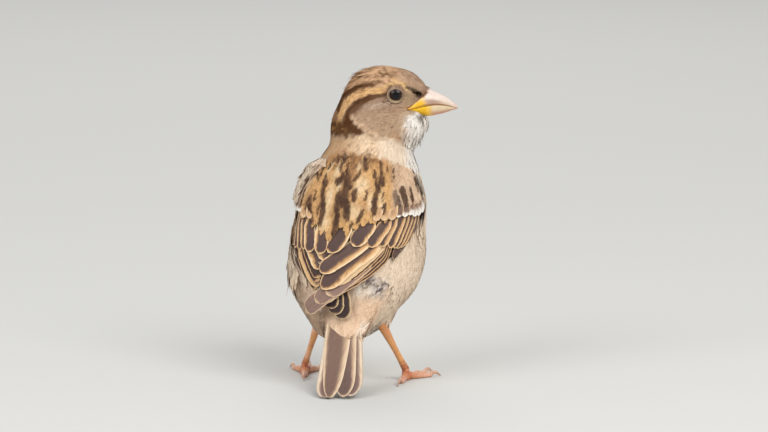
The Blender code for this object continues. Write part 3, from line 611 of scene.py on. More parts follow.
def skin_uv(p):
    """Unwrap of the skin: round the body's upright axis, and along its profile."""
    z = p[..., 2]
    hz = np.linspace(14, 104, 91)
    radius = np.where(hz > 78, curve(HEAD[:, 0], HEAD[:, 3], hz), curve(TRUNK[:, 0], TRUNK[:, 1], hz))
    step = np.hypot(np.diff(hz), np.diff(radius))
    arc = np.concatenate(([0], np.cumsum(step)))
    v = np.interp(z, hz, arc / arc[-1])
    f, s, _ = head_frame(p)
    head_w = np.arctan2(s, f - 0.5)
    a = np.radians(trunk_angle(p)) + np.radians(162)
    trunk_w = (a + np.pi) % (2 * np.pi) - np.pi
    w = np.where(z > 79, head_w, trunk_w)
    return np.stack((0.02 + 0.96 * (w / (2 * np.pi) + 0.5), 0.02 + 0.96 * v), -1)


skin_mesh.vertices.foreach_set("co", ((co - ORIGIN) * MM).ravel())
skin_mesh.update()
layer = skin_mesh.color_attributes.new("Col", "FLOAT_COLOR", "POINT")
# painted shade: the skin carries the coat's markings darkened to 0.88, for the shade between the feathers
rgba = np.ones((count, 4)); rgba[:, :3] = np.clip(ground_colour(co) * 0.88, 0, 1)
layer.data.foreach_set("color", rgba.ravel())
loops = np.empty(len(skin_mesh.loops), np.int64)
skin_mesh.loops.foreach_get("vertex_index", loops)
skin_mesh.materials.clear(); skin_mesh.materials.append(MAT_SKIN)
skin_mesh.name = "skin"
skin = bpy.data.objects.new("skin", skin_mesh)
bpy.context.scene.collection.objects.link(skin)
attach(skin, "root")
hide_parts("head", "neck", "trunk", "tail_coverts", "thigh_left", "thigh_right")

# ------------------------------------------------- surfaces feathers lie on
class Surface:
    def __init__(self, points, triangles, normals):
        self.points, self.tri = points, triangles
        self.tree = BVHTree.FromPolygons(points.tolist(), triangles.tolist())
        self.tri_no = unit(normals[triangles].sum(1))

    def nearest(self, p):
        flat = p.reshape(-1, 3)
        where, which = np.empty_like(flat), np.empty(len(flat), np.int64)
        find = self.tree.find_nearest
        for i, q in enumerate(flat.tolist()):
            hit = find(q)
            where[i], which[i] = hit[0], hit[2]
        return where.reshape(p.shape), self.tri_no[which].reshape(p.shape)

    def scatter(self, radius_of, keep, seed, tries=5):
        """Roots over the surface, no two nearer than radius_of gives."""
        gen = np.random.default_rng(seed)
        a, b, c = (self.points[self.tri[:, k]] for k in range(3))
        area = 0.5 * np.linalg.norm(np.cross(b - a, c - a), axis=1)
        centre = (a + b + c) / 3
        local = radius_of(centre)
        weight = area / local**2 * keep(centre)
        total = int(weight.sum() * tries)
        pick = gen.choice(len(self.tri), size=total, p=weight / weight.sum())
        u, v = gen.random(total), gen.random(total)
        flip = u + v > 1
        u[flip], v[flip] = 1 - u[flip], 1 - v[flip]
        p = a[pick] + (b[pick] - a[pick]) * u[:, None] + (c[pick] - a[pick]) * v[:, None]
        r = local[pick]
        key = np.floor(p / float(r.max())).astype(int)
        grid, out = {}, []
        pl, rl, kl = p.tolist(), r.tolist(), key.tolist()
        around = [(i, j, k) for i in (-1, 0, 1) for j in (-1, 0, 1) for k in (-1, 0, 1)]
        for i in range(total):
            x, y, z = pl[i]
            kx, ky, kz = kl[i]
            limit = rl[i] ** 2
            free = True
            for dx, dy, dz in around:
                for (px, py, pz) in grid.get((kx + dx, ky + dy, kz + dz), ()):
                    if (px - x) ** 2 + (py - y) ** 2 + (pz - z) ** 2 < limit:
                        free = False
                        break
                if not free:
                    break
            if free:
                grid.setdefault((kx, ky, kz), []).append((x, y, z))
                out.append(i)
        return p[out], self.tri_no[pick[out]]


skin_no = np.empty(count * 3)
skin_mesh.vertices.foreach_get("normal", skin_no)
skin_mesh.calc_loop_triangles()
tri = np.empty(len(skin_mesh.loop_triangles) * 3, np.int64)
skin_mesh.loop_triangles.foreach_get("vertices", tri)
SKIN = Surface(co, tri.reshape(-1, 3), skin_no.reshape(-1, 3))

PROUD = ((22, 4.4), (28, 3.3), (34, 2.5), (40, 2.2), (50, 2.0), (60, 1.7), (70, 1.0), (74, 0.4))


def wing_rise(side, own, height):
    """How far the folded wing stands over the trunk at its own angle and height."""
    top, low = wing_edges(np.clip(height, 23.5, 70.4))
    t = np.clip((own - top) / np.maximum(low - top, 1), 0, 1)
    dome = 0.55 + 0.45 * np.sin(np.pi * t) ** 0.7
    dome = dome + (1 - dome) * ramp(-height, -44, -28)
    proud = np.interp(height, [p[0] for p in PROUD], [p[1] for p in PROUD])
    inside = ramp(own - top, -11, 4) * ramp(low - own, -5, 4) * ramp(-height, -74, -67)
    lift = 1.5 * ramp(-height, -38, -31) + 0.5 * ramp(-height, -51, -45) if side == "right" else 0.0
    inner = ramp(-height, -53, -47) if side == "right" else ramp(-height, -40, -30)
    out = (proud * dome + lift) * np.maximum(inside, inner * (own < 50))
    if side == "left":
        t = ramp(own, 36, 66) * ramp(height, 36, 44) * ramp(-height, -76, -68)
        out = out * (1 - t) - 0.9 * t
    return out


def wing_point(side, own, height, extra):
    sign = 1.0 if side == "left" else -1.0
    return trunk_point(height, sign * own, wing_rise(side, own, height) + extra)


# the form the back's, shoulders' and wings' small feathers lie on
hz = np.linspace(84, 36, 97)
ha = np.linspace(-128, 128, 171)
gz, ga = np.meshgrid(hz, ha, indexing="ij")
sink = -0.80 - 0.7 * ramp(gz, 69, 75)
grid_left = wing_point("left", np.maximum(ga, 0), gz, sink)
grid_right = wing_point("right", np.maximum(-ga, 0), gz, sink)
grid = np.where((ga >= 0)[..., None], grid_left, grid_right)
k, j = np.meshgrid(np.arange(96), np.arange(170), indexing="ij")
q = k * 171 + j
quads = np.stack((q, q + 171, q + 172, q + 1), -1).reshape(-1, 4)
tris = np.concatenate((quads[:, (0, 1, 2)], quads[:, (0, 2, 3)]))
across = np.gradient(grid, axis=1)
along = np.gradient(grid, axis=0)
grid_no = unit(np.cross(along, across))
outward = grid - np.array((0, 0, 0)) - np.stack((gz * 0, gz * 0 - 3, gz), -1)
grid_no = np.where(((grid_no * outward).sum(-1) < 0)[..., None], -grid_no, grid_no)
HULL = Surface(grid.reshape(-1, 3), tris, grid_no.reshape(-1, 3))


BILL_BASE = head_place(12.5, 0.0, 91.0)


def flow(p, n):
    """Lie of the coat: away from the bill over the head, down to the tail."""
    f, s, z = head_frame(p)
    from_bill = unit(p - BILL_BASE)
    head_way = from_bill + np.array((0, 0, -1.0)) * (0.55 * ramp(-f, -4, 8))[..., None]
    body = np.broadcast_to(np.array((0.0, 0.62, -0.78)), p.shape).copy()
    a = trunk_angle(p)
    # the back's feathers draw in towards the tail
    body[..., 0] += 0.32 * np.sin(np.radians(a)) * ramp(-z, -60, -20)
    way = mix(body, unit(head_way), ramp(z, 72, 84))
    for side in ("left", "right"):                      # down along the thigh
        hip, ankle = place(*HIP[side]), place(*ANKLE[side])
        axis = unit(ankle - hip)
        along = (p - hip) @ axis
        off = np.linalg.norm(p - hip - axis * along[..., None], axis=-1)
        near = ramp(along, 6, 12) * ramp(-off, -7.5, -4.5)
        way = mix(way, np.broadcast_to(axis, p.shape), near * 0.85)
    way = way - n * (way * n).sum(-1, keepdims=True)
    return unit(way)


def vane_template(barbs, splay=0.24, fringe=0.5, thin=0.62):
    """One feather as separate barbs: (u across -1..1, v along 0..1), triangles."""
    pts, faces = [], []
    step = 0.92 / barbs
    for side in (-1, 1):
        for i in range(barbs):
            s = 0.04 + step * (i + 0.5)
            end = min(s + splay * (1 - 0.25 * s) + 0.06, 1.0)
            middle = s + (end - s) * fringe
            d = step * thin
            wide = side * (1 - 0.25 * max(s - 0.75, 0) / 0.25)
            k = len(pts)
            pts += [(0, s - d), (0, min(s + d, 1)), (wide * 0.62, middle - d * 0.9), (wide * 0.62, middle + d * 0.9),
                    (wide, end)]
            if side > 0:
                faces += [(k, k + 2, k + 3), (k, k + 3, k + 1), (k + 2, k + 4, k + 3)]
            else:
                faces += [(k, k + 3, k + 2), (k, k + 1, k + 3), (k + 2, k + 3, k + 4)]
    return np.array(pts, float), np.array(faces, np.int64)


def outline(v):
    """Half width of a small feather along it, 0 to 1."""
    return np.clip(np.sin(np.pi * np.clip(v, 0, 1) ** 0.85), 0, 1) ** 0.55 * 0.98 + 0.02


def feathers(name, surface, roots, normals, length, half, depth, barbs, colour_of, seed, slot, covers=(),
             splay=0.24, fringe=0.5, thin=0.62, yaw=0.12, lift=0.0, steps=5, loose=0.018, spreading=0.10, arch=0.12,
             rise=(0.10, 0.98), uneven=0.04, relief=0.25, swell=None):
    """A coat piece: every root gets one feather that follows the surface."""
    gen = np.random.default_rng(seed)
    count = len(roots)
    length = np.broadcast_to(length, count) * gen.uniform(0.85, 1.15, count)
    half = np.broadcast_to(half, count) * gen.uniform(0.85, 1.15, count)
    depth = np.broadcast_to(depth, count)
    lift = np.broadcast_to(lift, count)
    spine = np.empty((count, steps, 3)); up = np.empty((count, steps, 3)); way = np.empty((count, steps, 3))
    spine[:, 0], up[:, 0] = roots, normals
    turn = gen.normal(0, yaw, count)
    for k in range(steps):
        d = flow(spine[:, k], up[:, k])
        b = np.cross(up[:, k], d)
        way[:, k] = unit(d * np.cos(turn)[:, None] + b * np.sin(turn)[:, None])
        if k + 1 < steps:
            step = (length / (steps - 1))[:, None]
            ahead = spine[:, k] + way[:, k] * step
            there, normal = surface.nearest(ahead)
            # past the end of the form the feather goes straight on
            off = np.linalg.norm(there - ahead, axis=1) > 0.55 * step[:, 0]
            spine[:, k + 1] = np.where(off[:, None], ahead, there)
            up[:, k + 1] = np.where(off[:, None], up[:, k], unit(normal + up[:, k] * 0.35))
    side = np.cross(way, up)
    uvt, faces = vane_template(barbs, splay, fringe, thin)
    m = len(uvt)
    ends = np.abs(uvt[:, 0]) > 0.7
    u = np.broadcast_to(uvt[:, 0], (count, m)) * (1 + gen.normal(0, spreading, (count, m)) * ends)
    v = np.clip(np.broadcast_to(uvt[:, 1], (count, m)) + gen.normal(0, 1, (count, m)) * (0.008 + loose * ends), 0, 1.08)
    at = np.clip(v, 0, 0.9999) * (steps - 1)
    i = np.floor(at).astype(int)
    t = (at - i)[..., None]
    row = np.arange(count)[:, None]
    centre = spine[row, i] * (1 - t) + spine[row, i + 1] * t
    normal = unit(up[row, i] * (1 - t) + up[row, i + 1] * t)
    across = unit(side[row, i] * (1 - t) + side[row, i + 1] * t)
    stray = np.maximum(np.abs(gen.normal(0, 1, count)) - 0.7, 0.0) * lift * 1.8
    height = depth[:, None] * (rise[0] + (rise[1] - rise[0]) * (1.12 * v - 0.12 * v * v)) + stray[:, None] * v * v
    height = height + gen.uniform(-uneven, uneven, count)[:, None] + gen.normal(0, 0.015, (count, m)) * ends
    width = half[:, None] * outline(v)
    camber = arch * half[:, None] * (1 - (u * 0.9) ** 2) - 0.5 * arch * half[:, None]
    p = centre + across * (u * width)[..., None] + normal * (height + camber * np.clip(v * 2, 0, 1))[..., None]
    if swell is not None:
        p = p + normal * swell(p)[..., None]
    p[..., 2] = np.maximum(p[..., 2], 0.1)
    colours = colour_of(p, roots, u, v, gen)
    uv = skin_uv(roots)[:, None] + (np.stack((u * 0.5, v - 0.5), -1) * 0.003)
    all_faces = (faces[None] + (np.arange(count) * m)[:, None, None]).reshape(-1, 3)
    # the barbs lie so close that a feather shades as one soft surface
    along = unit(way[row, i] * (1 - t) + way[row, i + 1] * t)
    soft_no = unit(normal + across * (u * relief)[..., None] + along * ((v - 0.45) * relief * 0.8)[..., None]
                   + gen.normal(0, 0.05, (count, m, 3)))
    flat_p, flat_n = p.reshape(-1, 3), soft_no.reshape(-1, 3)
    a, b, c = (flat_p[all_faces[:, k]] for k in range(3))
    turned = (np.cross(b - a, c - a) * flat_n[all_faces].sum(1)).sum(-1) < 0
    all_faces[turned] = all_faces[turned][:, ::-1]
    obj = build(name, p, all_faces, colours, uv, None, MAT_COAT, normals=soft_no)
    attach(obj, "root")
    if covers:
        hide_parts(*covers)
    print(name, count, "feathers", len(all_faces), "triangles")
    return obj


# --------------------------------------------------------- the coat's regions
MANTLE_EDGE = np.array(((-75, 59), (-45, 56.5), (-34, 55.0), (-24, 54.2), (-20, 53.6), (-10, 50.8), (-5, 49.6), (0, 51.4),
                        (4, 52.6), (12, 51.6), (18, 52.6), (28, 54.2), (36, 55.0), (44, 55.4), (52, 57.5), (75, 59)))
# black-brown streaks of mantle, scapulars and shoulders: angle to the bird's
# right and height of both ends, half width in mm
STREAKS = np.array((
    (-43.0, 70.0, -33.0, 67.8, 0.58), (-25.5, 68.8, -20.5, 66.5, 0.8), (-23.0, 66.5, -14.5, 58.2, 0.77), (-16.0, 58.8, -15.0, 54.5, 0.64),
    (-15.5, 75.2, -10.5, 73.2, 0.8), (-14.0, 72.5, -5.5, 69.2, 0.64), (-10.0, 67.5, -4.5, 68.5, 0.8), (-0.5, 69.5, 4.0, 65.8, 1.09),
    (-4.0, 64.2, -2.5, 59.0, 0.83), (2.0, 64.5, 2.5, 61.0, 1.28), (6.5, 61.5, 7.5, 57.2, 1.15), (-0.5, 58.2, -2.0, 55.0, 0.9),
    (-1.0, 55.5, -2.0, 51.5, 0.83), (12.5, 70.2, 8.0, 68.2, 0.83), (12.0, 65.0, 12.5, 62.8, 0.9), (2.5, 65.5, 7.0, 66.2, 0.8),
    (14.0, 74.2, 18.0, 72.0, 0.9), (34.5, 72.8, 36.0, 70.2, 0.71), (28.0, 70.5, 29.5, 68.8, 0.71), (37.5, 68.8, 35.5, 66.5, 1.22),
    (35.0, 66.2, 31.5, 62.8, 0.9), (31.5, 62.8, 30.5, 58.8, 0.83), (31.5, 67.8, 32.5, 66.2, 0.64), (31.0, 58.8, 30.5, 56.8, 0.51),
    (39.5, 60.5, 37.5, 58.2, 0.71), (39.0, 64.0, 38.0, 61.8, 0.32), (23.5, 65.2, 22.5, 62.3, 0.42),
    (21.5, 59.2, 18.0, 55.8, 0.58), (13.5, 54.8, 12.0, 53.2, 0.38), (21.0, 57.2, 19.0, 55.8, 0.38), (50.0, 63.6, 53.0, 58.2, 1.15),
    (57.5, 64.6, 60.5, 59.5, 1.15), (67.5, 64.8, 68.5, 61.2, 0.71), (76.0, 67.5, 79.0, 64.2, 0.45), (-45.5, 64.5, -41.0, 60.2, 0.38),
    (-32.5, 62.5, -31.5, 58.8, 0.71), (-31.5, 60.0, -24.5, 54.8, 1.28), (-29.0, 64.2, -27.0, 61.5, 0.32), (-20.0, 60.5, -20.0, 58.0, 0.38),
    (50.5, 71.2, 49.0, 68.5, 0.29), (41.5, 71.8, 42.5, 70.5, 0.32), (-29.0, 73.5, -26.0, 70.8, 0.45), (-35.5, 72.8, -33.0, 69.0, 0.38),
    (-24.0, 74.0, -19.0, 73.0, 0.38), (-36.0, 70.8, -31.5, 69.0, 0.38), (-0.5, 73.8, -0.0, 72.2, 0.38), (-5.0, 72.8, -1.5, 70.5, 0.45),
    (5.5, 73.5, 6.0, 72.2, 0.29)))


def streaked(p):
    """How far a place of the back lies in one of the dark streaks, 0 to 1."""
    x = trunk_angle(p) * 0.40 + (noise(p * (1, 1, 0.7), 0.8, 51) - 0.5) * 0.8
    z = p[..., 2] + (noise(p, 0.9, 52) - 0.5) * 1.8
    dark = np.zeros(x.shape)
    for a0, z0, a1, z1, w in STREAKS:
        dx, dz = (a1 - a0) * 0.40, z1 - z0
        t = np.clip(((x - a0 * 0.40) * dx + (z - z0) * dz) / (dx * dx + dz * dz), 0, 1)
        d = np.hypot(x - a0 * 0.40 - dx * t, z - z0 - dz * t)
        dark = np.maximum(dark, 1 - ramp(d / (w * (1.28 - 0.5 * np.abs(t - 0.5) ** 2)), 0.70, 1.15))
    return dark


def near_eye(p):
    f, s, z = head_frame(p)
    return (np.hypot(f - EYE[0], z - EYE[2]) < 2.36) & (np.abs(s) > 5)


# the bill with its fleshy gape: forward, culmen, gape line, gonys, half width
BEAK = np.array((
    (8.9, 90.5, 89.9, 89.3, 7.25), (9.8, 91.4, 89.9, 88.7, 6.95), (10.9, 93.0, 90.0, 88.1, 6.35),
    (12.4, 95.2, 90.2, 87.4, 5.25), (14.0, 96.1, 90.5, 87.0, 4.45), (15.9, 96.1, 90.8, 86.8, 4.0),
    (18.2, 95.1, 91.0, 87.1, 3.5), (20.4, 94.05, 90.9, 87.6, 2.85), (22.4, 92.95, 90.5, 88.2, 2.1),
    (24.2, 91.5, 90.0, 88.85, 1.25), (25.4, 90.35, 89.6, 89.05, 0.62)))


def in_bill(p):
    f, s, z = head_frame(p)
    width, top, low = (np.interp(f, BEAK[:, 0], BEAK[:, k]) for k in (4, 1, 3))
    mid = (top + low) / 2
    inside = (np.abs(s) / (width + 0.3)) ** 2 + ((z - mid) / ((top - low) / 2 + 0.15)) ** 2 < 1
    return (f > 8.8) & (inside | (np.abs(z - np.interp(f, BEAK[:, 0], BEAK[:, 2])) < (top - low) * 0.42 - 0.3)) & (np.abs(s) < 9) & (z < top - 0.1) & (z > low)


def head_coat(p, roots, u, v, gen):
    spot = p * 0.75 + roots[:, None] * 0.25
    c = head_colour(spot)
    shade = gen.normal(0, 0.05, (len(roots), 1))
    edge = 1 + 0.08 * ramp(v, 0.55, 1.0) - 0.08 * (1 - ramp(np.abs(u), 0.0, 0.4)) + shade
    return c * edge[..., None]


def trunk_coat(p, roots, u, v, gen):
    spot = p * 0.5 + roots[:, None] * 0.5
    c = ground_colour(spot)
    shade = gen.normal(0, 0.03, (len(roots), 1))
    edge = 1 + 0.03 * ramp(v, 0.6, 1.0) - 0.04 * (1 - ramp(np.abs(u), 0.0, 0.35)) * ramp(v, 0.2, 0.5) + shade
    return c * edge[..., None]


def back_pattern(spot, u, v):
    """Mantle and scapulars: gold-buff ground, pale braces, black-brown streaks."""
    p = spot
    a = trunk_angle(spot)
    h = spot[..., 2]
    c = np.broadcast_to(BUFF, p.shape)
    c = mix(c, rgb(196, 150, 108), ramp(noise(spot, 3.0, 61), 0.35, 0.8) * 0.6)
    brown = np.maximum(np.exp(-((a - 1) / 6.0) ** 2) * ramp(h, 59, 64), ramp(h, 71, 75.5) * 0.9)
    brown = np.maximum(brown, 0.6 * ramp(np.abs(a + 4), 42, 60))
    c = mix(c, rgb(150, 106, 72), brown * (0.5 + 0.5 * noise(spot, 1.2, 62)))
    pale = np.zeros(a.shape)
    for a0, z0, wa, wz in ((-14, 71.5, 4.5, 3.2), (-12.5, 61.5, 4.5, 6.0), (-5.5, 66.5, 2.5, 1.8), (10, 72.5, 3.5, 1.6),
                           (17, 66.5, 7.0, 3.6), (13, 58.5, 7.0, 2.6), (-11, 54.5, 4.0, 2.4), (-26, 71.0, 3.0, 2.0),
                           (27.5, 62.0, 3.0, 3.0), (37, 61.0, 3.0, 4.0)):
        pale = np.maximum(pale, np.exp(-(((a - a0) / wa) ** 2 + ((h - z0) / wz) ** 2) ** 1.5))
    c = mix(c, mix(rgb(232, 196, 146), rgb(240, 218, 184), noise(spot, 1.5, 64)), pale * 0.8)
    grey = mix(rgb(184, 158, 134), rgb(206, 182, 158), noise(spot, 1.6, 65))
    c = mix(c, grey, ramp(a, 43, 52) * 0.7 + ramp(-a, 36, 46) * 0.75)
    # fine dark streaking between, and speckles at the neck
    fine = noise(spot * (1.0, 1.0, 0.35), 0.55, 66)
    c = mix(c, rgb(120, 84, 58), ramp(fine, 0.60, 0.82) * (0.35 + 0.35 * ramp(h, 69, 73)) * (1 - 0.5 * pale))
    speck = noise(spot * (1.0, 1.0, 0.8), 0.8, 67)
    smoke = np.zeros(a.shape)
    for a0, z0, wa, wz, amount in ((3.0, 61.0, 6.0, 5.5, 0.75), (-3.5, 58.0, 5.0, 4.0, 0.6), (-2.0, 53.5, 3.5, 3.0, 0.55),
                                   (1.0, 70.0, 7.0, 4.5, 0.7), (14.0, 74.5, 12.0, 1.8, 0.5), (-12.0, 75.0, 14.0, 1.8, 0.5), (-35.0, 59.0, 6.5, 4.5, 0.7), (33.0, 68.0, 4.0, 3.0, 0.5),
                                   (32.0, 60.0, 3.5, 4.0, 0.35), (-21.0, 63.0, 3.0, 6.0, 0.35)):
        smoke = np.maximum(smoke, amount * np.exp(-(((a - a0) / wa) ** 2 + ((h - z0) / wz) ** 2) ** 1.5))
    tuft = ramp(noise(spot * (1.0, 1.0, 0.45), 0.7, 68), 0.30, 0.55)
    c = mix(c, mix(rgb(104, 80, 66), rgb(132, 100, 74), noise(spot, 1.2, 69)), smoke * tuft)
    c = mix(c, rgb(84, 60, 48), ramp(speck, 0.60, 0.72) * ramp(h, 70.5, 73) * ramp(-np.abs(a + 2), -32, -24) * 0.8)
    dark = streaked(spot)
    tone = mix(rgb(66, 48, 44), rgb(100, 74, 58), ramp(noise(spot, 1.4, 63), 0.3, 0.8))
    web = 1 - 0.55 * ramp(np.abs(u), 0.75, 1.0) * ramp(v, 0.5, 0.9)
    c = mix(c, tone, dark * web * 0.94)
    edge = ramp(np.abs(u), 0.55, 0.95) * ramp(v, 0.4, 0.8)
    c = mix(c, rgb(222, 178, 126), edge * 0.28 * (1 - dark * 0.6))
    return c


def back_coat(p, roots, u, v, gen):
    c = back_pattern(roots[:, None] + (p - roots[:, None]) * 0.93, u, v)
    shade = gen.normal(0, 0.05, (len(roots), 1))
    return c * 0.95 * (1 + shade - 0.08 * (1 - ramp(np.abs(u), 0, 0.2)))[..., None]


def neck_coat(p, roots, u, v, gen):
    """Neck feathers, taking up the back's pattern where they reach over it."""
    c = head_colour(p)
    a = trunk_angle(p)
    line = neck_line(a) + (noise(p, 1.2, 27) - 0.5) * 2.0
    over = ramp(line - p[..., 2], -0.9, 1.1) * ramp(-np.abs(a - 4), -86, -66)
    c = mix(c, back_pattern(p, u * 0.6, v * 0.6), over)
    low = ramp(line - p[..., 2], -0.9, 1.1) * (1 - ramp(-np.abs(a - 4), -86, -66))
    c = mix(c, trunk_colour(p), low)
    shade = gen.normal(0, 0.04, (len(roots), 1))
    edge = 1 + 0.07 * ramp(v, 0.55, 1.0) - 0.07 * (1 - ramp(np.abs(u), 0.0, 0.4)) + shade
    return c * edge[..., None]


def lesser_coat(p, roots, u, v, gen):
    """Lesser coverts of the shoulder: brown-grey with darker centres."""
    spot = roots[:, None] + (p - roots[:, None]) * 0.6
    base = mix(rgb(208, 174, 144), rgb(232, 204, 174), noise(spot, 2.4, 41))
    dark = ramp(0.6 - np.abs(u), 0, 0.4) * ramp(v, 0.15, 0.4) * (1 - ramp(v, 0.78, 0.95))
    some = ramp(noise(roots, 2.2, 42), 0.35, 0.6)[:, None]
    c = mix(base, rgb(128, 98, 80), dark * (0.14 + 0.32 * some))
    spot = roots[:, None] + (p - roots[:, None]) * 0.93
    wide = np.interp(spot[..., 2], (56, 62, 68, 72, 76), (46, 46, 49, 62, 74))
    over = ramp(np.abs(trunk_angle(spot)) - wide, -3, 8)
    c = mix(back_pattern(spot, u, v), c, over)
    c = mix(c, rgb(72, 51, 42), streaked(spot) * 0.92 * over)
    c = mix(c, rgb(214, 184, 152), ramp(np.abs(u), 0.6, 0.95) * ramp(v, 0.35, 0.7) * 0.35)
    # painted shade: near-black where the right wing's bend meets the breast
    c = mix(c, rgb(46, 30, 24), bend_gap_shade(trunk_angle(p), p[..., 2]) * 0.97)
    shade = gen.normal(0, 0.05, (len(roots), 1))
    return c * (1 + shade)[..., None]


def fluff_coat(p, roots, u, v, gen):
    base = mix(rgb(220, 196, 172), rgb(240, 222, 200), noise(roots, 1.5, 71))[:, None]
    c = mix(np.broadcast_to(base, p.shape), rgb(236, 218, 196), ramp(v, 0.5, 1.0) * 0.6)
    a, h = trunk_angle(p), p[..., 2]
    off = np.abs(a - np.interp(h, (57, 60, 64, 68, 73), (-70, -74, -72, -64, -52)))
    off = np.where(a > np.interp(h, (57, 60, 64, 68, 73), (-70, -74, -72, -64, -52)), off, 0.0)
    c = mix(c, mix(rgb(206, 176, 146), rgb(172, 140, 114), noise(p * (1, 1, 0.4), 0.8, 72)), ramp(off, 5.0, 9.5) * 0.6)
    c = mix(c, trunk_colour(p), ramp(-a, 84, 92) * 0.7)
    shade = gen.normal(0, 0.05, (len(roots), 1))
    return c * (1 + shade)[..., None]


def area_of(p):
    """0 head, 1 neck, 4 under, 5 rump and lower back, 9 under the wings or mantle."""
    right_angle, h = trunk_angle(p), p[..., 2]
    a = np.abs(right_angle)
    top, low = wing_edges(np.clip(h, 26, 70))
    kind = np.full(p.shape[:-1], 4)
    kind = np.where((a < 62) & (h < 40), 5, kind)
    low = np.where((right_angle < 0) & (h < 48), np.minimum(low, 40 + (h - 36) * 1.2), low)
    kind = np.where((h < 72) & (h > 30) & (a < low - 6 - 17 * ramp(h, 47, 50)), 9, kind)
    kind = np.where(h > neck_line(right_angle) - 3.0, 1, kind)
    return np.where(h > 81.5, 0, kind)


def size_of(p):
    """Feather length by region, mm."""
    f, s, z = head_frame(p)
    kind = area_of(p)
    near_bill = np.sqrt((f - 14.0) ** 2 + s**2 + (z - 91) ** 2)
    head_len = 1.5 + 2.0 * ramp(near_bill, 4, 15)
    eye = np.sqrt((f - EYE[0]) ** 2 + (z - EYE[2]) ** 2)
    head_len = np.where(np.abs(s) > 4, head_len * (0.5 + 0.5 * ramp(eye, 2.4, 5.5)), head_len)
    head_len = head_len * (1 + 0.9 * ramp(f, 7.5, 11) * ramp(-z, -88.5, -86) + 0.35 * ramp(z, 97, 100) * ramp(-f, -4, 2))
    neck_len = 3.6 + 3.0 * ramp(-z, -82, -74)
    length = np.select([kind == 0, kind == 1, kind == 5], [head_len, neck_len, 8.4], 8.4)
    behind = ramp(p[..., 1], 14, 22)
    length = length * (1 - (0.3 - 0.10 * behind) * ramp(-z, -24, -15))
    for side in ("left", "right"):                      # short down to the ankle
        hip, ankle = place(*HIP[side]), place(*ANKLE[side])
        axis, whole = unit(ankle - hip), np.linalg.norm(ankle - hip)
        along = (p - hip) @ axis
        off = np.linalg.norm(p - hip - axis * along[..., None], axis=-1)
        left = np.maximum((whole - along) * 0.9 + 0.3, 1.5)
        length = np.where((off < 6.5) & (along > 5), np.minimum(length, left), length)
    return length


def spacing(p):
    kind = area_of(p)
    length = size_of(p)
    return np.select([kind == 0, kind == 1], [np.minimum(0.15 * length + 0.10, 0.58), 0.135 * length],
                     np.maximum(0.100 * length, 0.45))


def keep(p):
    on_tail = (p[..., 1] > 15) & (p[..., 2] < 21.3 - 0.15 * np.abs(p[..., 0] + 3.5))
    return ((area_of(p) != 9) & ~near_eye(p) & ~in_bill(p) & ~on_tail).astype(float)


roots, normals = SKIN.scatter(spacing, keep, 5)
ok = keep(roots) > 0.5
roots, normals = roots[ok], normals[ok]
kind = area_of(roots)
length = size_of(roots)
depth = coat_depth(roots)
f_, s_, z_ = head_frame(roots)
soft = dict(splay=0.46, thin=0.68, loose=0.03, spreading=0.14, arch=0.02, rise=(0.82, 1.0), uneven=0.014, yaw=0.07,
            relief=0.04)
fine = dict(splay=0.34, thin=0.66, loose=0.03, arch=0.04, rise=(0.62, 0.98), uneven=0.014, yaw=0.08, relief=0.10)
h_ = roots[:, 2]
# flank and neck stand out a little more than the skin's own depth
depth = depth + 0.7 * ramp(h_, 30, 40) * ramp(-h_, -70, -60) * (kind == 4) + 0.35 * (kind == 1) * ramp(-h_, -80, -74)
right_ = trunk_angle(roots)
_, wing_low = wing_edges(np.clip(h_, 26, 70))
depth = depth * (1 - 0.65 * ramp(wing_low - 6 - np.abs(right_), 0, 5) * ramp(h_, 44, 48) * ramp(-h_, -72, -68) * (kind == 4))
depth = depth + 0.9 * ramp(right_, 86, 92) * ramp(-right_, -116, -100) * ramp(h_, 50, 56) * ramp(-h_, -76, -68) * (kind != 0)
depth = depth + 1.15 * ramp(f_, 9, 12.5) * ramp(-z_, -88.4, -86.4) * ramp(z_, 77, 81) * (kind <= 1)
lift = np.where(kind == 0, 0.03 + 0.35 * ramp(z_, 95, 99) * ramp(-f_, -3, 3) + 0.45 * ramp(f_, 9, 12) * ramp(-z_, -88, -86), 0.012)
plan = (
    ("coat_head", kind == 0, 6, head_coat, 0.19, "head_feathers", fine),
    ("coat_neck", kind == 1, 11, neck_coat, 0.19, "head_feathers", fine),
    ("coat_rump", kind == 5, 12, trunk_coat, 0.19, "body_feathers", soft),
    ("coat_breast", (kind == 4) & (h_ > 44), 12, trunk_coat, 0.19, "underpart_feathers", soft),
    ("coat_belly", (kind == 4) & (h_ <= 44), 12, trunk_coat, 0.19, "underpart_feathers", soft),
)
for number, (name, mask, barbs, colour_of, ratio, slot, more) in enumerate(plan):
    mask = mask.nonzero()[0]
    feathers(name, SKIN, roots[mask], normals[mask], length[mask], length[mask] * ratio, depth[mask], barbs,
             colour_of, 100 + number, slot, lift=lift[mask], **more)


# the back's and shoulders' own feathers, over the wings' edges
def back_keep(p):
    a, h = trunk_angle(p), p[..., 2]
    own = np.abs(a)
    edge = np.interp(a, MANTLE_EDGE[:, 0], MANTLE_EDGE[:, 1])
    wide = np.interp(h, (56, 62, 68, 72, 76, 80), (46, 46, 49, 62, 74, 74))
    return ((h > edge + 5.6) & (own < wide) & (h < 75.5) & (h < neck_line(a) + 0.5)).astype(float)


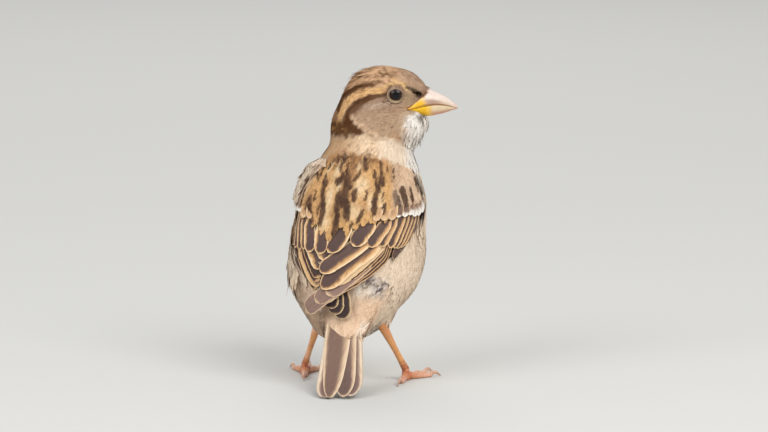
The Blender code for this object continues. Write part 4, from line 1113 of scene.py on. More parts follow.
def lesser_keep(p):
    a, h = trunk_angle(p), p[..., 2]
    own = np.abs(a)
    wide = np.interp(h, (56, 62, 68, 72, 76), (46, 46, 49, 62, 74))
    outer = np.where(a > 0, np.interp(h, (56, 60, 63.5, 68.5, 72), (88.5, 88, 85, 79, 72)),
                     np.interp(h, (56, 60, 64, 68, 71, 73), (94, 96, 94, 90, 82, 72)))
    return ((h > np.interp(own, (46, 60, 84), (60.4, 61.0, 62.4)) - 0.5 * (a < 0)) & (own >= wide - 4) & (own < outer) & (h < 73.5) & (h < neck_line(a) + 0.5)).astype(float)


back_roots, back_normals = HULL.scatter(lambda p: 0.80 + 0 * p[..., 0], back_keep, 6)
feathers("coat_back", HULL, back_roots, back_normals, 7.4, 1.55, 1.30, 15, back_coat, 201, "body_feathers",
         splay=0.34, thin=0.5, loose=0.035, yaw=0.09, lift=0.05, arch=0.07, rise=(0.62, 1.0), uneven=0.03)
less_roots, less_normals = HULL.scatter(lambda p: 0.62 + 0 * p[..., 0], lesser_keep, 7)
feathers("coat_shoulder", HULL, less_roots, less_normals, 3.9, 1.15, 1.30, 11, lesser_coat, 202, "wing_feathers",
         splay=0.34, thin=0.5, loose=0.035, yaw=0.09, lift=0.05, arch=0.07, rise=(0.80, 1.0), uneven=0.03)


def flank_keep(p):
    """The left flank's feathers, fluffed out over the wing's lower edge."""
    a, h = trunk_angle(p), p[..., 2]
    line = 38 + (h - 36) * 1.3
    return ((a < -line - 2) & (a > -line - 34) & (h > 36.5) & (h < 51 - 0.1 * (-a - 40))).astype(float)


flank_roots, flank_normals = HULL.scatter(lambda p: 1.1 + 0 * p[..., 0], flank_keep, 8)


def flank_swell(p):
    """How far the left flank swells over the wing's lower edge, mm."""
    a, h = trunk_angle(p), p[..., 2]
    line = 38 + (h - 36) * 1.3
    return 0.3 * ramp(-a - line, 0, 14) * ramp(h, 32, 38) * ramp(-h, -53, -48)


feathers("coat_flank", HULL, flank_roots, flank_normals, 8.0, 1.6, 1.6, 11, trunk_coat, 203, "underpart_feathers",
         lift=0.05, swell=flank_swell, **soft)


def fluff_keep(p):
    a, h = trunk_angle(p), p[..., 2]
    line = np.interp(h, (57, 60, 64, 68, 73), (-70, -74, -72, -64, -52))
    return ((a < line + 12) & (a > line - 20)).astype(float) * (h > 58.4) * (h < 73)


fluff_roots, fluff_normals = HULL.scatter(lambda p: 0.55 + 0 * p[..., 0], fluff_keep, 9)


def fluff_swell(p):
    """How far the fluffed shoulder swells out, mm."""
    a, h = trunk_angle(p), p[..., 2]
    line = np.interp(h, (57, 60, 64, 68, 73), (-70, -74, -72, -64, -52))
    out = line - a
    return (2.1 * ramp(out, -11, 3) * (1 - ramp(out, 7, 19)) * ramp(h, 56.0, 60.0) * ramp(-h, -74, -69)
            - 1.15 * ramp(out, 9, 20))


feathers("coat_fluff", HULL, fluff_roots, fluff_normals, 4.4, 0.95, 1.7, 10, fluff_coat, 204, "body_feathers",
         lift=0.30, yaw=0.22, splay=0.45, thin=0.6, loose=0.06, spreading=0.25, relief=0.05, rise=(0.80, 1.0),
         swell=fluff_swell)


# --------------------------------------------- long feathers of wings and tail
class Vanes:
    """Long feathers of one piece, each a fine grid with its own cell of the map."""

    def __init__(self, cells):
        self.p, self.c, self.f, self.bake, self.uv = [], [], [], [], []
        self.first, self.number, self.cells = 0, 0, cells

    def add(self, p, c, u, v, length):
        nv, nu = u.shape
        i, j = np.meshgrid(np.arange(nv - 1), np.arange(nu - 1), indexing="ij")
        a = self.first + i * nu + j
        self.f.append(np.stack((a, a + 1, a + nu + 1, a + nu), -1).reshape(-1, 4))
        self.p.append(p.reshape(-1, 3)); self.c.append(c.reshape(-1, 3))
        col, row = self.number % self.cells, self.number // self.cells
        self.bake.append(np.stack(((col + 0.5 + 0.45 * u) / self.cells, (row + 0.04 + 0.92 * v) / self.cells), -1).reshape(-1, 2))
        self.uv.append(np.stack((np.abs(u) * 3.0, v * length), -1).reshape(-1, 2))
        self.first += nv * nu
        self.number += 1

    def finish(self, name, slot, *covers):
        obj = build(name, np.concatenate(self.p), np.concatenate(self.f), np.concatenate(self.c),
                    np.concatenate(self.bake), np.concatenate(self.uv), MAT_VANE)
        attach(obj, "root")
        if covers:
            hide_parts(*covers)
        print(name, self.number, "vanes", 2 * sum(len(f) for f in self.f), "triangles")
        return obj


def vane_outline(v, tip=0.76, base=0.22, point=2.1):
    t = np.clip((v - tip) / (1 - tip), 0, 1)
    return (0.30 + 0.70 * ramp(v, 0.0, base)) * np.clip(1 - t**point, 0, 1) ** 0.58


def vane_grid(nv=24, nu=17):
    t = np.linspace(0, 1, nv)
    v = 1 - (1 - t) ** 1.45
    u = np.sin(np.linspace(-1, 1, nu) * math.pi / 2 * 0.82) / math.sin(math.pi / 2 * 0.82)
    return np.broadcast_to(u, (nv, nu)).copy(), np.broadcast_to(v[:, None], (nv, nu)).copy()


def vane_colour(u, v, half, length, look, seed):
    """look: dark, deep (towards the tip), fringe, edge, inner, outer, tip (mm), shaft."""
    wide = half * vane_outline(v)
    fr = np.where(u > 0, look["outer"] * (1 - 0.45 * ramp(v, 0.6, 0.95)), look["inner"])
    grain = noise(np.stack((u * half * 1.5 + v * 0, v * length * 1.0, v * 0 + seed), -1), 0.55, 80 + seed % 7)
    barb = noise(np.stack((np.abs(u) * half * 0.5 + v * 0, (v * length - np.abs(u) * half * 0.8) * 3.0, v * 0 + seed), -1), 0.9, 90)
    side = wide * (1 - np.abs(u))
    edge = np.minimum(side / fr, (1 - v) * length / look["tip"]) + (grain - 0.5) * 0.5 + (barb - 0.5) * 0.3
    soft = look.get("soft", 0.28) + 0.10
    f = 1 - ramp(edge, 1 - soft, 1 + soft)
    dark = mix(look["dark"], look["deep"], ramp(v, 0.2, 0.9) * 0.8)
    dark = dark * (1 + 0.20 * (barb - 0.5) + 0.16 * (grain - 0.5))[..., None]
    pale = mix(look["edge"], look["fringe"], ramp(edge, 0.15, 0.75))
    if "sides" in look:
        pale = mix(pale, look["sides"], ramp((1 - v) * length, look["tip"] * 0.7, look["tip"] * 1.1 + 0.2))
    pale = pale * (0.95 + 0.14 * (barb - 0.5))[..., None]
    c = mix(dark, pale, f)
    shaft = np.exp(-(u * wide / 0.13) ** 2) * (1 - ramp(v, 0.9, 1.0))
    return mix(c, look.get("shaft", look["dark"] * 0.75), shaft * 0.55)


def bend(path, t):
    """Quadratic through three points, at t 0 to 1, and its direction."""
    a, b, c = (np.asarray(q, float) for q in path)
    t = np.asarray(t)[..., None]
    w0, w1, w2 = 2 * (t - 0.5) * (t - 1), 4 * t * (1 - t), 2 * t * (t - 0.5)
    d0, d1, d2 = 4 * t - 3, 4 - 8 * t, 4 * t - 1
    return a * w0 + b * w1 + c * w2, a * d0 + b * d1 + c * d2


def wing_vane(vanes, side, path, half, low, high, look, seed, tip=0.76, point=2.1, camber=0.045, tilt=0.16):
    """path: (own angle, height) of root, middle and tip; low and high: how far
    root and tip stand over the folded wing's form, mm."""
    u, v = vane_grid()
    metric = np.array((0.40, 1.0))
    path = [np.asarray(q, float) * metric for q in path]
    centre, way = bend(path, v[:, 0])
    length = float(np.linalg.norm(np.diff(centre, axis=0), axis=1).sum())
    way = unit(way)
    normal = np.stack((-way[:, 1], way[:, 0]), -1)       # towards the outer edge
    wide = half * vane_outline(v, tip, 0.22, point)
    gen = np.random.default_rng(seed)
    rag = 1 + 0.05 * (noise(np.stack((v * length, u * 0 + seed, u * 0), -1), 0.5, 95) - 0.5) * 2
    q = centre[:, None] + normal[:, None] * (u * wide * rag)[..., None]
    rise = low + (high - low) * v + camber * half * (1 - u * u) + tilt * half * u * (1 - 0.5 * v**4)
    p = wing_point(side, q[..., 0] / 0.40, q[..., 1], rise)
    vanes.add(p, vane_colour(u, v, half, length, look, seed), u, v, length)


def look(dark, deep, fringe, edge, inner, outer, tip, **more):
    return dict(dark=rgb(*dark), deep=rgb(*deep), fringe=rgb(*fringe), edge=rgb(*edge),
                inner=inner, outer=outer, tip=tip, **more)


PRIMARY = look((140, 112, 98), (134, 108, 96), (206, 170, 134), (222, 194, 162), 0.25, 0.36, 0.8)
TIP_LEFT = look((64, 46, 42), (52, 36, 36), (186, 152, 112), (222, 196, 156), 0.50, 0.30, 0.5, soft=0.3)
SECONDARY = look((58, 38, 34), (70, 48, 42), (206, 160, 112), (218, 176, 130), 0.10, 0.30, 0.9, soft=0.3)
PANEL = look((112, 84, 72), (120, 92, 78), (208, 168, 122), (220, 188, 146), 0.6, 3.3, 0.8, soft=0.4)
PANEL_LEFT = look((112, 84, 72), (120, 92, 78), (214, 170, 118), (226, 188, 140), 0.5, 1.9, 0.8, soft=0.4)
TERTIAL = look((92, 70, 62), (84, 62, 56), (210, 160, 104), (240, 208, 166), 0.42, 1.75, 0.75, soft=0.3)
TERTIAL_TOP = look((96, 74, 66), (90, 68, 62), (212, 162, 106), (242, 212, 172), 0.40, 1.45, 0.75, soft=0.3)
GREATER = look((90, 68, 62), (78, 58, 54), (214, 166, 110), (240, 212, 172), 0.42, 0.95, 0.7, soft=0.3)
GREATER_WIDE = look((92, 70, 62), (78, 58, 52), (212, 164, 112), (230, 194, 148), 0.40, 1.25, 0.6, soft=0.35)
GREATER_THIN = look((96, 70, 58), (84, 60, 50), (212, 166, 116), (226, 190, 146), 0.36, 0.78, 0.7, soft=0.35)
MEDIAN_BUFF = look((176, 138, 106), (160, 124, 94), (212, 170, 126), (224, 190, 150), 0.7, 0.9, 2.0, soft=0.5)
PRIMARY_COVERT = look((98, 74, 64), (90, 66, 58), (170, 134, 106), (196, 160, 128), 0.16, 0.22, 0.35)


def median_white(tip, width):
    return look((128, 102, 86), (112, 86, 74), (244, 234, 222), (250, 244, 236), 0.3, 0.4, tip, soft=0.45,
                sides=rgb(196, 160, 128))


def wing_base(side):
    """The wing's own body under its feathers."""
    sign = 1 if side == "left" else -1
    rows = []
    for k in range(24):
        t = 0.86 * k / 23
        top = np.array((spread(WING_TOP[:, 0], t), spread(WING_TOP[:, 1], t)))
        low = np.array((spread(WING_LOW[:, 0], t), spread(WING_LOW[:, 1], t)))
        w = np.linspace(0.06, 0.90 - 0.45 * ramp(t, 0.45, 0.75), 14)
        own, z = (top[i] + (low[i] - top[i]) * w for i in (0, 1))
        outer = wing_point(side, own, z, -0.95)
        inner = wing_point(side, own, z, -2.0)
        rows.append(np.concatenate((outer, inner[::-1])))
    points, faces = closed_loft(rows)
    obj = build(f"wing_base_{side}", points, faces, np.broadcast_to(rgb(92, 68, 56), points.shape), None, None, MAT_SKIN)
    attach(obj, "root")
    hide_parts(f"wing_{side}")


GREATERS = {
    "right": (((8.5, 55.6), (3.6, 50.3), (-4.2, 45.4), 2.6, GREATER), ((30.5, 56.6), (21.8, 52.1), (13.8, 47.8), 2.75, GREATER),
              ((46.5, 56.4), (35.0, 51.4), (26.6, 47.5), 2.2, GREATER_WIDE), ((52.5, 56.8), (43.0, 51.2), (36.2, 47.4), 1.75, GREATER_WIDE),
              ((61.0, 57.8), (52.0, 51.8), (43.8, 46.7), 1.75, GREATER_WIDE), ((66.5, 57.8), (57.5, 51.5), (48.0, 46.5), 1.4, GREATER_THIN),
              ((72.0, 57.6), (62.5, 51.4), (51.0, 46.3), 1.35, GREATER_THIN), ((77.5, 57.2), (67.5, 51.4), (54.8, 46.5), 1.3, GREATER_THIN),
              ((82.5, 56.6), (73.0, 51.4), (58.8, 46.9), 1.3, GREATER_THIN), ((86.5, 55.2), (78.5, 51.2), (64.0, 47.4), 1.3, GREATER_THIN)),
    "left": (((10.0, 56.0), (11.0, 50.0), (9.2, 44.6), 2.25, GREATER), ((26.5, 56.2), (22.5, 50.2), (19.2, 44.9), 2.15, GREATER),
             ((34.0, 56.6), (29.5, 50.6), (25.8, 45.6), 1.35, GREATER_THIN), ((39.5, 56.6), (34.5, 50.4), (30.6, 45.2), 1.3, GREATER_THIN),
             ((45.0, 56.8), (40.0, 50.6), (36.6, 45.6), 1.35, GREATER_THIN), ((51.5, 57.0), (46.5, 51.0), (42.5, 46.2), 1.45, GREATER_THIN),
             ((58.5, 57.2), (53.5, 51.4), (49.0, 46.8), 1.5, GREATER_THIN), ((65.5, 57.4), (60.0, 51.8), (55.0, 47.4), 1.5, GREATER_THIN),
             ((72.5, 57.6), (67.0, 52.2), (61.5, 48.0), 1.5, GREATER_THIN), ((79.5, 57.4), (74.0, 52.6), (68.0, 48.6), 1.5, GREATER_THIN),
             ((86.0, 57.0), (81.0, 53.2), (75.0, 49.6), 1.4, GREATER_THIN)),
}
TERTIALS = {
    "right": (((45.5, 51.3), (19.8, 42.6), (0.4, 35.0), 2.6, -0.50, 0.05, PANEL),
              ((42.0, 50.8), (11.5, 41.9), (-6.0, 33.5), 3.1, -0.45, 0.35, TERTIAL),
              ((34.0, 52.4), (6.8, 44.3), (-9.2, 38.9), 2.6, -0.35, 0.60, TERTIAL_TOP)),
    "left": (((34.0, 48.0), (22.0, 40.8), (11.0, 33.9), 2.3, -0.6, -0.3, PANEL_LEFT),
             ((26.0, 49.5), (16.5, 44.2), (9.6, 39.6), 2.1, -0.5, -0.15, TERTIAL_TOP),
             ((17.0, 50.5), (9.5, 46.5), (4.6, 42.6), 2.3, -0.45, -0.1, TERTIAL_TOP)),
}
for side in ("left", "right"):
    wing_base(side)
    flight = Vanes(8)
    # primaries, the longest beneath
    if side == "right":
        tips = (((26.0, 41.5), (2.0, 33.6), (-21.5, 25.7), 2.75), ((28.0, 42.5), (8.0, 36.2), (-11.0, 29.2), 2.6),
                ((30.0, 43.5), (14.5, 38.4), (-2.5, 31.8), 2.5))
        spec = PRIMARY
    else:
        tips = (((14.0, 42.0), (-4.0, 33.0), (-9.5, 23.5), 2.95), ((14.0, 42.0), (0.5, 34.0), (-3.6, 25.0), 2.7),
                ((16.0, 42.0), (4.0, 35.0), (0.2, 26.9), 2.4), ((17.0, 42.0), (6.0, 36.0), (2.6, 28.8), 2.2))
        spec = TIP_LEFT
    seed = 300
    for k, (a, b, c, half) in enumerate(tips):
        seed += 1
        wing_vane(flight, side, (a, b, c), half, -0.72 + 0.08 * k, -0.60 + 0.20 * k, spec, seed, tip=0.84, point=2.4, tilt=0.14 if side == "right" else -0.13)
    # the edges of the other primaries and of the secondaries, a narrow strip each
    rows = 4
    for k in range(rows):
        t = 1 - k / (rows - 1)                      # 1 at the lower edge
        if side == "right":
            root = np.array((43.5 + 2.7 * t, 49.9 - 3.0 * t))
            mid = np.array((23.2 + 2.8 * t, 42.0 - 2.6 * t))
            tip = np.array((4.0 - 3.6 * t, 35.7 - 2.4 * t))
        else:
            root = np.array((27.0 + 5.0 * t, 48.5 - 2.4 * t))
            mid = np.array((18.0 + 5.5 * t, 42.4 - 3.6 * t))
            tip = np.array((9.5 + 3.0 * t, 37.0 - 3.6 * t))
        seed += 1
        wing_vane(flight, side, (root, mid, tip), 2.1, -0.66 + 0.05 * k, -0.50 + 0.06 * k,
                  SECONDARY, seed, tip=0.86, point=2.2)
    # the outer wing's edge, primary coverts and the leading edge's small feathers
    for k in range(8):
        t = k / 7
        root = np.array((62.0 + 20.0 * t, 50.0 + 3.5 * t))
        mid = np.array((52.0 + 21.0 * t, 44.0 + 5.5 * t)) if side == "right" else np.array((46.0 + 24.0 * t, 42.5 + 6.5 * t))
        tip = np.array((40.0 + 23.0 * t, 39.5 + 7.0 * t)) if side == "right" else np.array((30.0 + 32.0 * t, 36.8 + 9.0 * t))
        seed += 1
        if side == "left":
            wing_vane(flight, side, (root, mid, tip), 2.0, -0.62, -0.42, SECONDARY, seed)
    for k in range(3):
        root = np.array((68.0 + 5.0 * k, 51.0 + 1.6 * k))
        mid, tip = root + np.array((-9.5, -4.3)), root + np.array((-20.0 + 2.5 * k, -8.3 + 1.0 * k))
        seed += 1
        wing_vane(flight, side, (root, mid, tip), 2.2, -0.30, 0.15 - 0.05 * k, PRIMARY_COVERT, seed)
    for k in range(4):
        if side == "right":
            break
        root = np.array((80.0 + 1.6 * k, 67.0 - 2.6 * k))
        tip = root + np.array((-2.0 - 1.5 * k, -7.5))
        seed += 1
        wing_vane(flight, side, (root, (root + tip) / 2 + (1.0, 0), tip), 1.5, -0.3 - 0.05 * k, 0.1 - 0.08 * k,
                  PRIMARY_COVERT, seed)
    for a, b, c, half, low, high, spec in TERTIALS[side]:
        seed += 1
        wing_vane(flight, side, (a, b, c), half, low, high, spec, seed, tip=0.74)
    flight.finish(f"flight_feathers_{side}", "wing_feathers")

    coverts = Vanes(8)
    for k, (a, b, c, half, spec) in reversed(list(enumerate(GREATERS[side]))):
        seed += 1
        wing_vane(coverts, side, (a, b, c), half, -0.30 - 0.02 * k, 0.62 - 0.05 * k, spec, seed,
                  tip=0.66, point=2.0)
    medians = (((82, 3.9), (76, 3.4), (70, 2.8), (64, 2.1), (58, 1.6), (51, 0.8)) if side == "right" else
               ((87, 1.6), (80, 1.8), (73, 1.6), (66, 1.5), (59, 1.4), (52, 1.6), (45, 1.8), (38, 1.3)))
    for own, tip_mm in medians:
        z = 56.0 + 0.5 * math.sin(own * 1.7) + 0.8 * ramp(-own, -66, -56)
        seed += 1
        wing_vane(coverts, side, ((own + 3.5, z + 7.0), (own + 2.0, z + 3.4), (own, z)), 1.95,
                  0.0, 0.75, median_white(tip_mm, 0.3), seed, tip=0.62)
    for own in ((45, 38, 31) if side == "right" else (31, 24)):
        seed += 1
        wing_vane(coverts, side, ((own + 3.5, 63.5), (own + 2.0, 59.5), (own, 55.6)), 1.95, 0.0, 0.72, MEDIAN_BUFF, seed, tip=0.62)
    coverts.finish(f"wing_coverts_{side}", "wing_feathers")


# ------------------------------------------------------------------- the tail
def tail_frame(t):
    """Middle, across and upper-face directions of the tail at t 0 to 1."""
    t = np.asarray(t, float)

    def mid(x):
        return place(spread(TAIL_SWING, x), spread(TAIL_LINE[:, 0], x), spread(TAIL_LINE[:, 1], x))
    ahead = unit(mid(np.clip(t + 0.01, 0, 1)) - mid(np.clip(t - 0.01, 0, 1)))
    across = np.array((-1.0, 0, 0)) + ahead * ahead[..., :1]
    across = unit(across)
    face = unit(np.cross(across, ahead))
    face = np.where(face[..., 1:2] < 0, -face, face)
    return mid(t), across, face, ahead


RECTRIX_TOP = look((124, 98, 84), (112, 88, 78), (206, 174, 142), (228, 204, 174), 1.8, 0.85, 0.9, soft=0.5,
                   shaft=rgb(118, 90, 74))
RECTRIX = look((124, 98, 86), (98, 76, 72), (206, 174, 144), (226, 202, 172), 0.4, 1.35, 1.0, soft=0.5,
               shaft=rgb(100, 76, 64))
RECTRIX_EDGE = look((132, 106, 94), (116, 92, 86), (206, 180, 154), (230, 210, 186), 0.55, 1.0, 0.9, soft=0.55,
                    shaft=rgb(100, 76, 64))
tail = Vanes(4)
# offsets from the tail's middle at root and tip, half width, spread towards the bird's right
TAIL_RIGHT = ((0.7, 1.8, 3.5), (2.0, 4.0, 3.4), (2.1, 4.3, 3.3), (2.2, 4.5, 3.2), (2.3, 4.6, 3.1), (2.4, 4.7, 3.0))
TAIL_LEFT = ((-1.4, -2.7, 4.3), (-2.2, -4.2, 3.4), (-2.4, -4.7, 3.3), (-2.6, -5.0, 3.2), (-2.8, -5.2, 3.1), (-3.0, -5.3, 3.0))
for side_sign, rows in ((1, TAIL_RIGHT), (-1, TAIL_LEFT)):
    # towards the bird's right is +; the left half lies on top in the middle
    for k in range(5, -1, -1):
        base_off, tip_off, half = rows[k]
        u, v = vane_grid(30, 17)
        end = 1.0 - 0.012 * k - (0.0 if side_sign < 0 else 0.018)
        t = 0.10 + (end - 0.10) * v
        mid, across, face, ahead = tail_frame(np.clip(t, 0, 1))
        layer = (0.42 if side_sign < 0 else 0.14) - 0.20 * k
        offset = base_off + (tip_off - base_off) * ramp(v, 0.1, 1.0)
        wide = half * (0.80 + 0.20 * ramp(v, 0, 0.4)) * vane_outline(v, 0.70 if k == 0 else 0.78, 0.05, 2.2)
        if side_sign < 0 and k == 0:
            wide = wide * (1 - 0.32 * ramp(v, 0.40, 0.95))
        x = offset + u * side_sign * wide
        room = 8.3
        height = layer + 0.9 * (1 - t) * (1 - np.clip(x / room, -1, 1) ** 2) + 0.16 * u * (1 - ramp(v, 0.8, 1)) - 0.40
        p = mid + across * x[..., None] + face * height[..., None]
        p[..., 2] = np.maximum(p[..., 2], 0.25 + 0.05 * (5 - k) + (0.3 if side_sign < 0 else 0.0))
        spec = RECTRIX_EDGE if k else (RECTRIX_TOP if side_sign < 0 else RECTRIX)
        tail.add(p, vane_colour(u, v, half, 38.0, spec, 500 + k + 10 * side_sign), u, v, 38.0)
tail.finish("tail_feathers", "tail_feathers", "tail")

# -------------------------------------------------------------------- the eyes
def head_side(f, z):
    """Half width of the feathered head at a forward place and height."""
    rear, front, half = (curve(HEAD[:, 0], HEAD[:, k], z) for k in (1, 2, 3))
    c = np.clip((f - (rear + front) / 2) / ((front - rear) / 2), -1, 1)
    return half * (1 - HEAD_TAPER * c) * np.sqrt(1 - c * c)


MAT_EYE, tree_, shader_ = new_material("eye", 0.07, 0.10, coat=0.32)
col = tree_.nodes.new("ShaderNodeAttribute"); col.attribute_name = "Col"
tree_.links.new(col.outputs["Color"], shader_.inputs["Base Color"])
MAT_LID, tree_, shader_, grain_ = painted("eyelid", 0.18, 0.25, roughness=0.45, specular=0.4)
add_bump(tree_, shader_, grain_.outputs["Fac"], 0.5, 0.05)

for side, sign in (("left", -1), ("right", 1)):
    w = np.linspace(0, math.pi, 41)[1:-1]
    j = np.linspace(0, 2 * math.pi, 64, endpoint=False)
    ww, jj = np.meshgrid(w, j, indexing="ij")
    rings = head_place(EYE[0] + EYE_RADIUS * np.sin(ww) * np.cos(jj), sign * (EYE[1] + EYE_RADIUS * np.cos(ww)),
                       EYE[2] + EYE_RADIUS * np.sin(ww) * np.sin(jj))
    tips = (head_place(EYE[0], sign * (EYE[1] + EYE_RADIUS), EYE[2]),
            head_place(EYE[0], sign * (EYE[1] - EYE_RADIUS), EYE[2]))
    points, faces = closed_loft(rings, tips)
    off = np.linalg.norm(points - tips[0], axis=1)
    tone = mix(rgb(9, 7, 9), rgb(44, 28, 20), ramp(off, 1.15, 1.45) * ramp(-off, -2.15, -1.75))
    eye = build(f"eyeball_{side}", points, faces, tone, None, None, MAT_EYE)
    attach(eye, "root"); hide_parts(f"eye_{side}")

    # lids: a thin beaded ring from the eyeball out to the feathers
    rows = np.linspace(0, 1, 9)
    j = np.linspace(0, 2 * math.pi, 96, endpoint=False)
    rr, jj = np.meshgrid(rows, j, indexing="ij")
    a_in, b_in = 2.02, 1.80
    rho = np.hypot(a_in * np.cos(jj), b_in * np.sin(jj)) + 1.0 * rr
    x, y = rho * np.cos(jj), rho * np.sin(jj)
    ball = EYE[1] + np.sqrt(np.maximum(EYE_RADIUS**2 - rho**2, 0.6))
    outer = head_side(EYE[0] + x, EYE[2] + y) - 0.45
    t = ramp(rr, 0.0, 0.75)
    out = (ball + 0.05) * (1 - t) + outer * t
    out = np.maximum(out, ball + 0.03) + 0.16 * np.sin(np.pi * np.clip(rr * 1.9, 0, 1))
    out = out + 0.03 * np.sin(jj * 26) * np.exp(-((rr - 0.28) / 0.16) ** 2)
    p = head_place(EYE[0] + x, sign * out, EYE[2] + y)
    low = ramp(-np.sin(jj), 0.0, 0.9)
    tone = mix(rgb(146, 118, 96), rgb(158, 134, 94), low)
    tone = mix(tone, rgb(36, 26, 22), ramp(-rr, -0.22, -0.10))
    tone = mix(tone, rgb(146, 120, 97), ramp(rr, 0.45, 0.75))
    lid = build(f"eyelid_{side}", p.reshape(-1, 3), loft_faces(9, 96), tone, None, None, MAT_LID)
    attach(lid, "root")


# -------------------------------------------------------------------- the bill
MAT_BILL, tree_, shader_, grain_ = painted("bill_horn", 0.9, 0.07, roughness=0.33, specular=0.45, coat=0.12)
add_bump(tree_, shader_, grain_.outputs["Fac"], 0.25, 0.08)


def beak_rings(upper, rows=64, sides=40):
    f = np.concatenate((np.linspace(8.9, 24.2, rows - 10), np.linspace(24.4, 25.5, 10)))
    top, gape, low, half = (curve(BEAK[:, 0], BEAK[:, k], f)[:, None] for k in (1, 2, 3, 4))
    w = 2 * np.pi * np.arange(sides) / sides
    c, q = np.cos(w), np.sin(w)
    if upper:
        ridge = np.clip(q, 0, 1) ** 0.94
        z = gape - 0.02 + ridge * (top - gape) + np.clip(-q, 0, 1) * 0.35
        swell = 1 + 0.05 * np.exp(-((ridge - 0.35) / 0.25) ** 2)
        x = half * c * swell
    else:
        z = gape - 0.07 - np.clip(-q, 0, 1) ** 0.92 * (gape - 0.07 - low) - np.clip(q, 0, 1) * 0.35
        x = half * 0.955 * c
    f = np.broadcast_to(f[:, None], z.shape)
    return f, x, z, gape, top, low


for upper in (True, False):
    f, x, z, gape, top_, low_ = beak_rings(upper)
    rings = head_place(f, x, z)
    tip = head_place(25.9 if upper else 25.55, 0, 89.62 if upper else 89.35)
    points, faces = closed_loft(rings, (None, tip))
    spot = np.concatenate((np.stack((f, x, z), -1).reshape(-1, 3), [[8.9, 0, 90.0], [25.9, 0, 89.6]]))
    ff, zz = spot[:, 0], spot[:, 2]
    gg = curve(BEAK[:, 0], BEAK[:, 2], ff)
    wob = (noise(spot, 1.1, 111) - 0.5)
    if upper:
        rel = (zz - gg) / np.maximum(curve(BEAK[:, 0], BEAK[:, 1], ff) - gg, 0.3)
        c = mix(rgb(214, 196, 176), rgb(226, 208, 198), ramp(rel, 0.3, 0.9))
        c = mix(c, rgb(188, 164, 158), ramp(rel, 0.93, 1.0) * ramp(ff, 14, 17) * 0.55)
        # painted shade: a mauve-brown band along the upper mandible's side above the gape line
        c = mix(c, rgb(142, 98, 90), np.exp(-(((ff - 17.4) / 3.4) ** 2 + ((rel - 0.26) / 0.17) ** 2)) * 0.85)
        c = mix(c, rgb(206, 140, 78), np.exp(-((zz - gg) / 0.42) ** 2) * (1 - ramp(ff, 20.5, 24)) * 0.8)
        yellow = (1 - ramp(ff + rel * 1.6 + wob * 1.2, 13.4, 16.2)) * (1 - ramp(rel, 0.72, 0.95))
        c = mix(c, rgb(244, 184, 4), yellow * 0.95)
        c = mix(c, rgb(214, 148, 60), yellow * ramp(rel, 0.45, 0.8) * 0.4)
    else:
        rel = (gg - zz) / np.maximum(gg - curve(BEAK[:, 0], BEAK[:, 3], ff), 0.3)
        c = mix(rgb(222, 200, 164), rgb(212, 178, 146), ramp(rel, 0.35, 0.75))
        c = mix(c, rgb(206, 136, 112), ramp(rel, 0.55, 0.9) * ramp(ff, 15, 18) * 0.9)
        c = mix(c, rgb(204, 150, 96), np.exp(-((zz - gg) / 0.3) ** 2) * 0.6)
        yellow = 1 - ramp(ff + wob * 1.2 - rel * 1.1, 14.6, 17.6)
        c = mix(c, rgb(246, 190, 2), yellow)
        c = mix(c, rgb(214, 140, 60), yellow * ramp(rel, 0.75, 1.0) * 0.5)
    c = mix(c, rgb(212, 160, 84), (1 - ramp(ff, 9.2, 11.2)) * 0.6)
    c = mix(c, rgb(214, 176, 160), ramp(ff, 23.2, 25.2) * 0.6)
    c = c * (1 + 0.10 * wob)[:, None]
    name = "upper" if upper else "lower"
    bill = build(f"bill_{name}_horn", points, faces, c, None, None, MAT_BILL)
    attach(bill, "root"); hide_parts(f"bill_{name}")

# nostrils: painted shade, near-black slots for the shade inside the nostril pits, low near the feathers' edge
MAT_DARK = new_material("nostril", 0.7, 0.2)[0]
MAT_DARK.node_tree.nodes["Principled BSDF"].inputs["Base Color"].default_value = (0.03, 0.017, 0.012, 1)
pts, faces = [], []
for sign in (-1, 1):
    w = np.linspace(0, 2 * math.pi, 20, endpoint=False)
    ring = head_place(15.3 + 0.62 * np.cos(w), sign * (3.05 - 0.25 * np.sin(w)), 94.05 + 0.34 * np.sin(w) - 0.12 * np.cos(w))
    first = len(pts)
    pts += list(ring) + [head_place(15.3, sign * 3.12, 94.05)]
    faces += [(first + i, first + (i + 1) % 20, first + 20) for i in range(20)]
nostril = build("nostrils", pts, np.array(faces), None, None, None, MAT_DARK)
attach(nostril, "root")


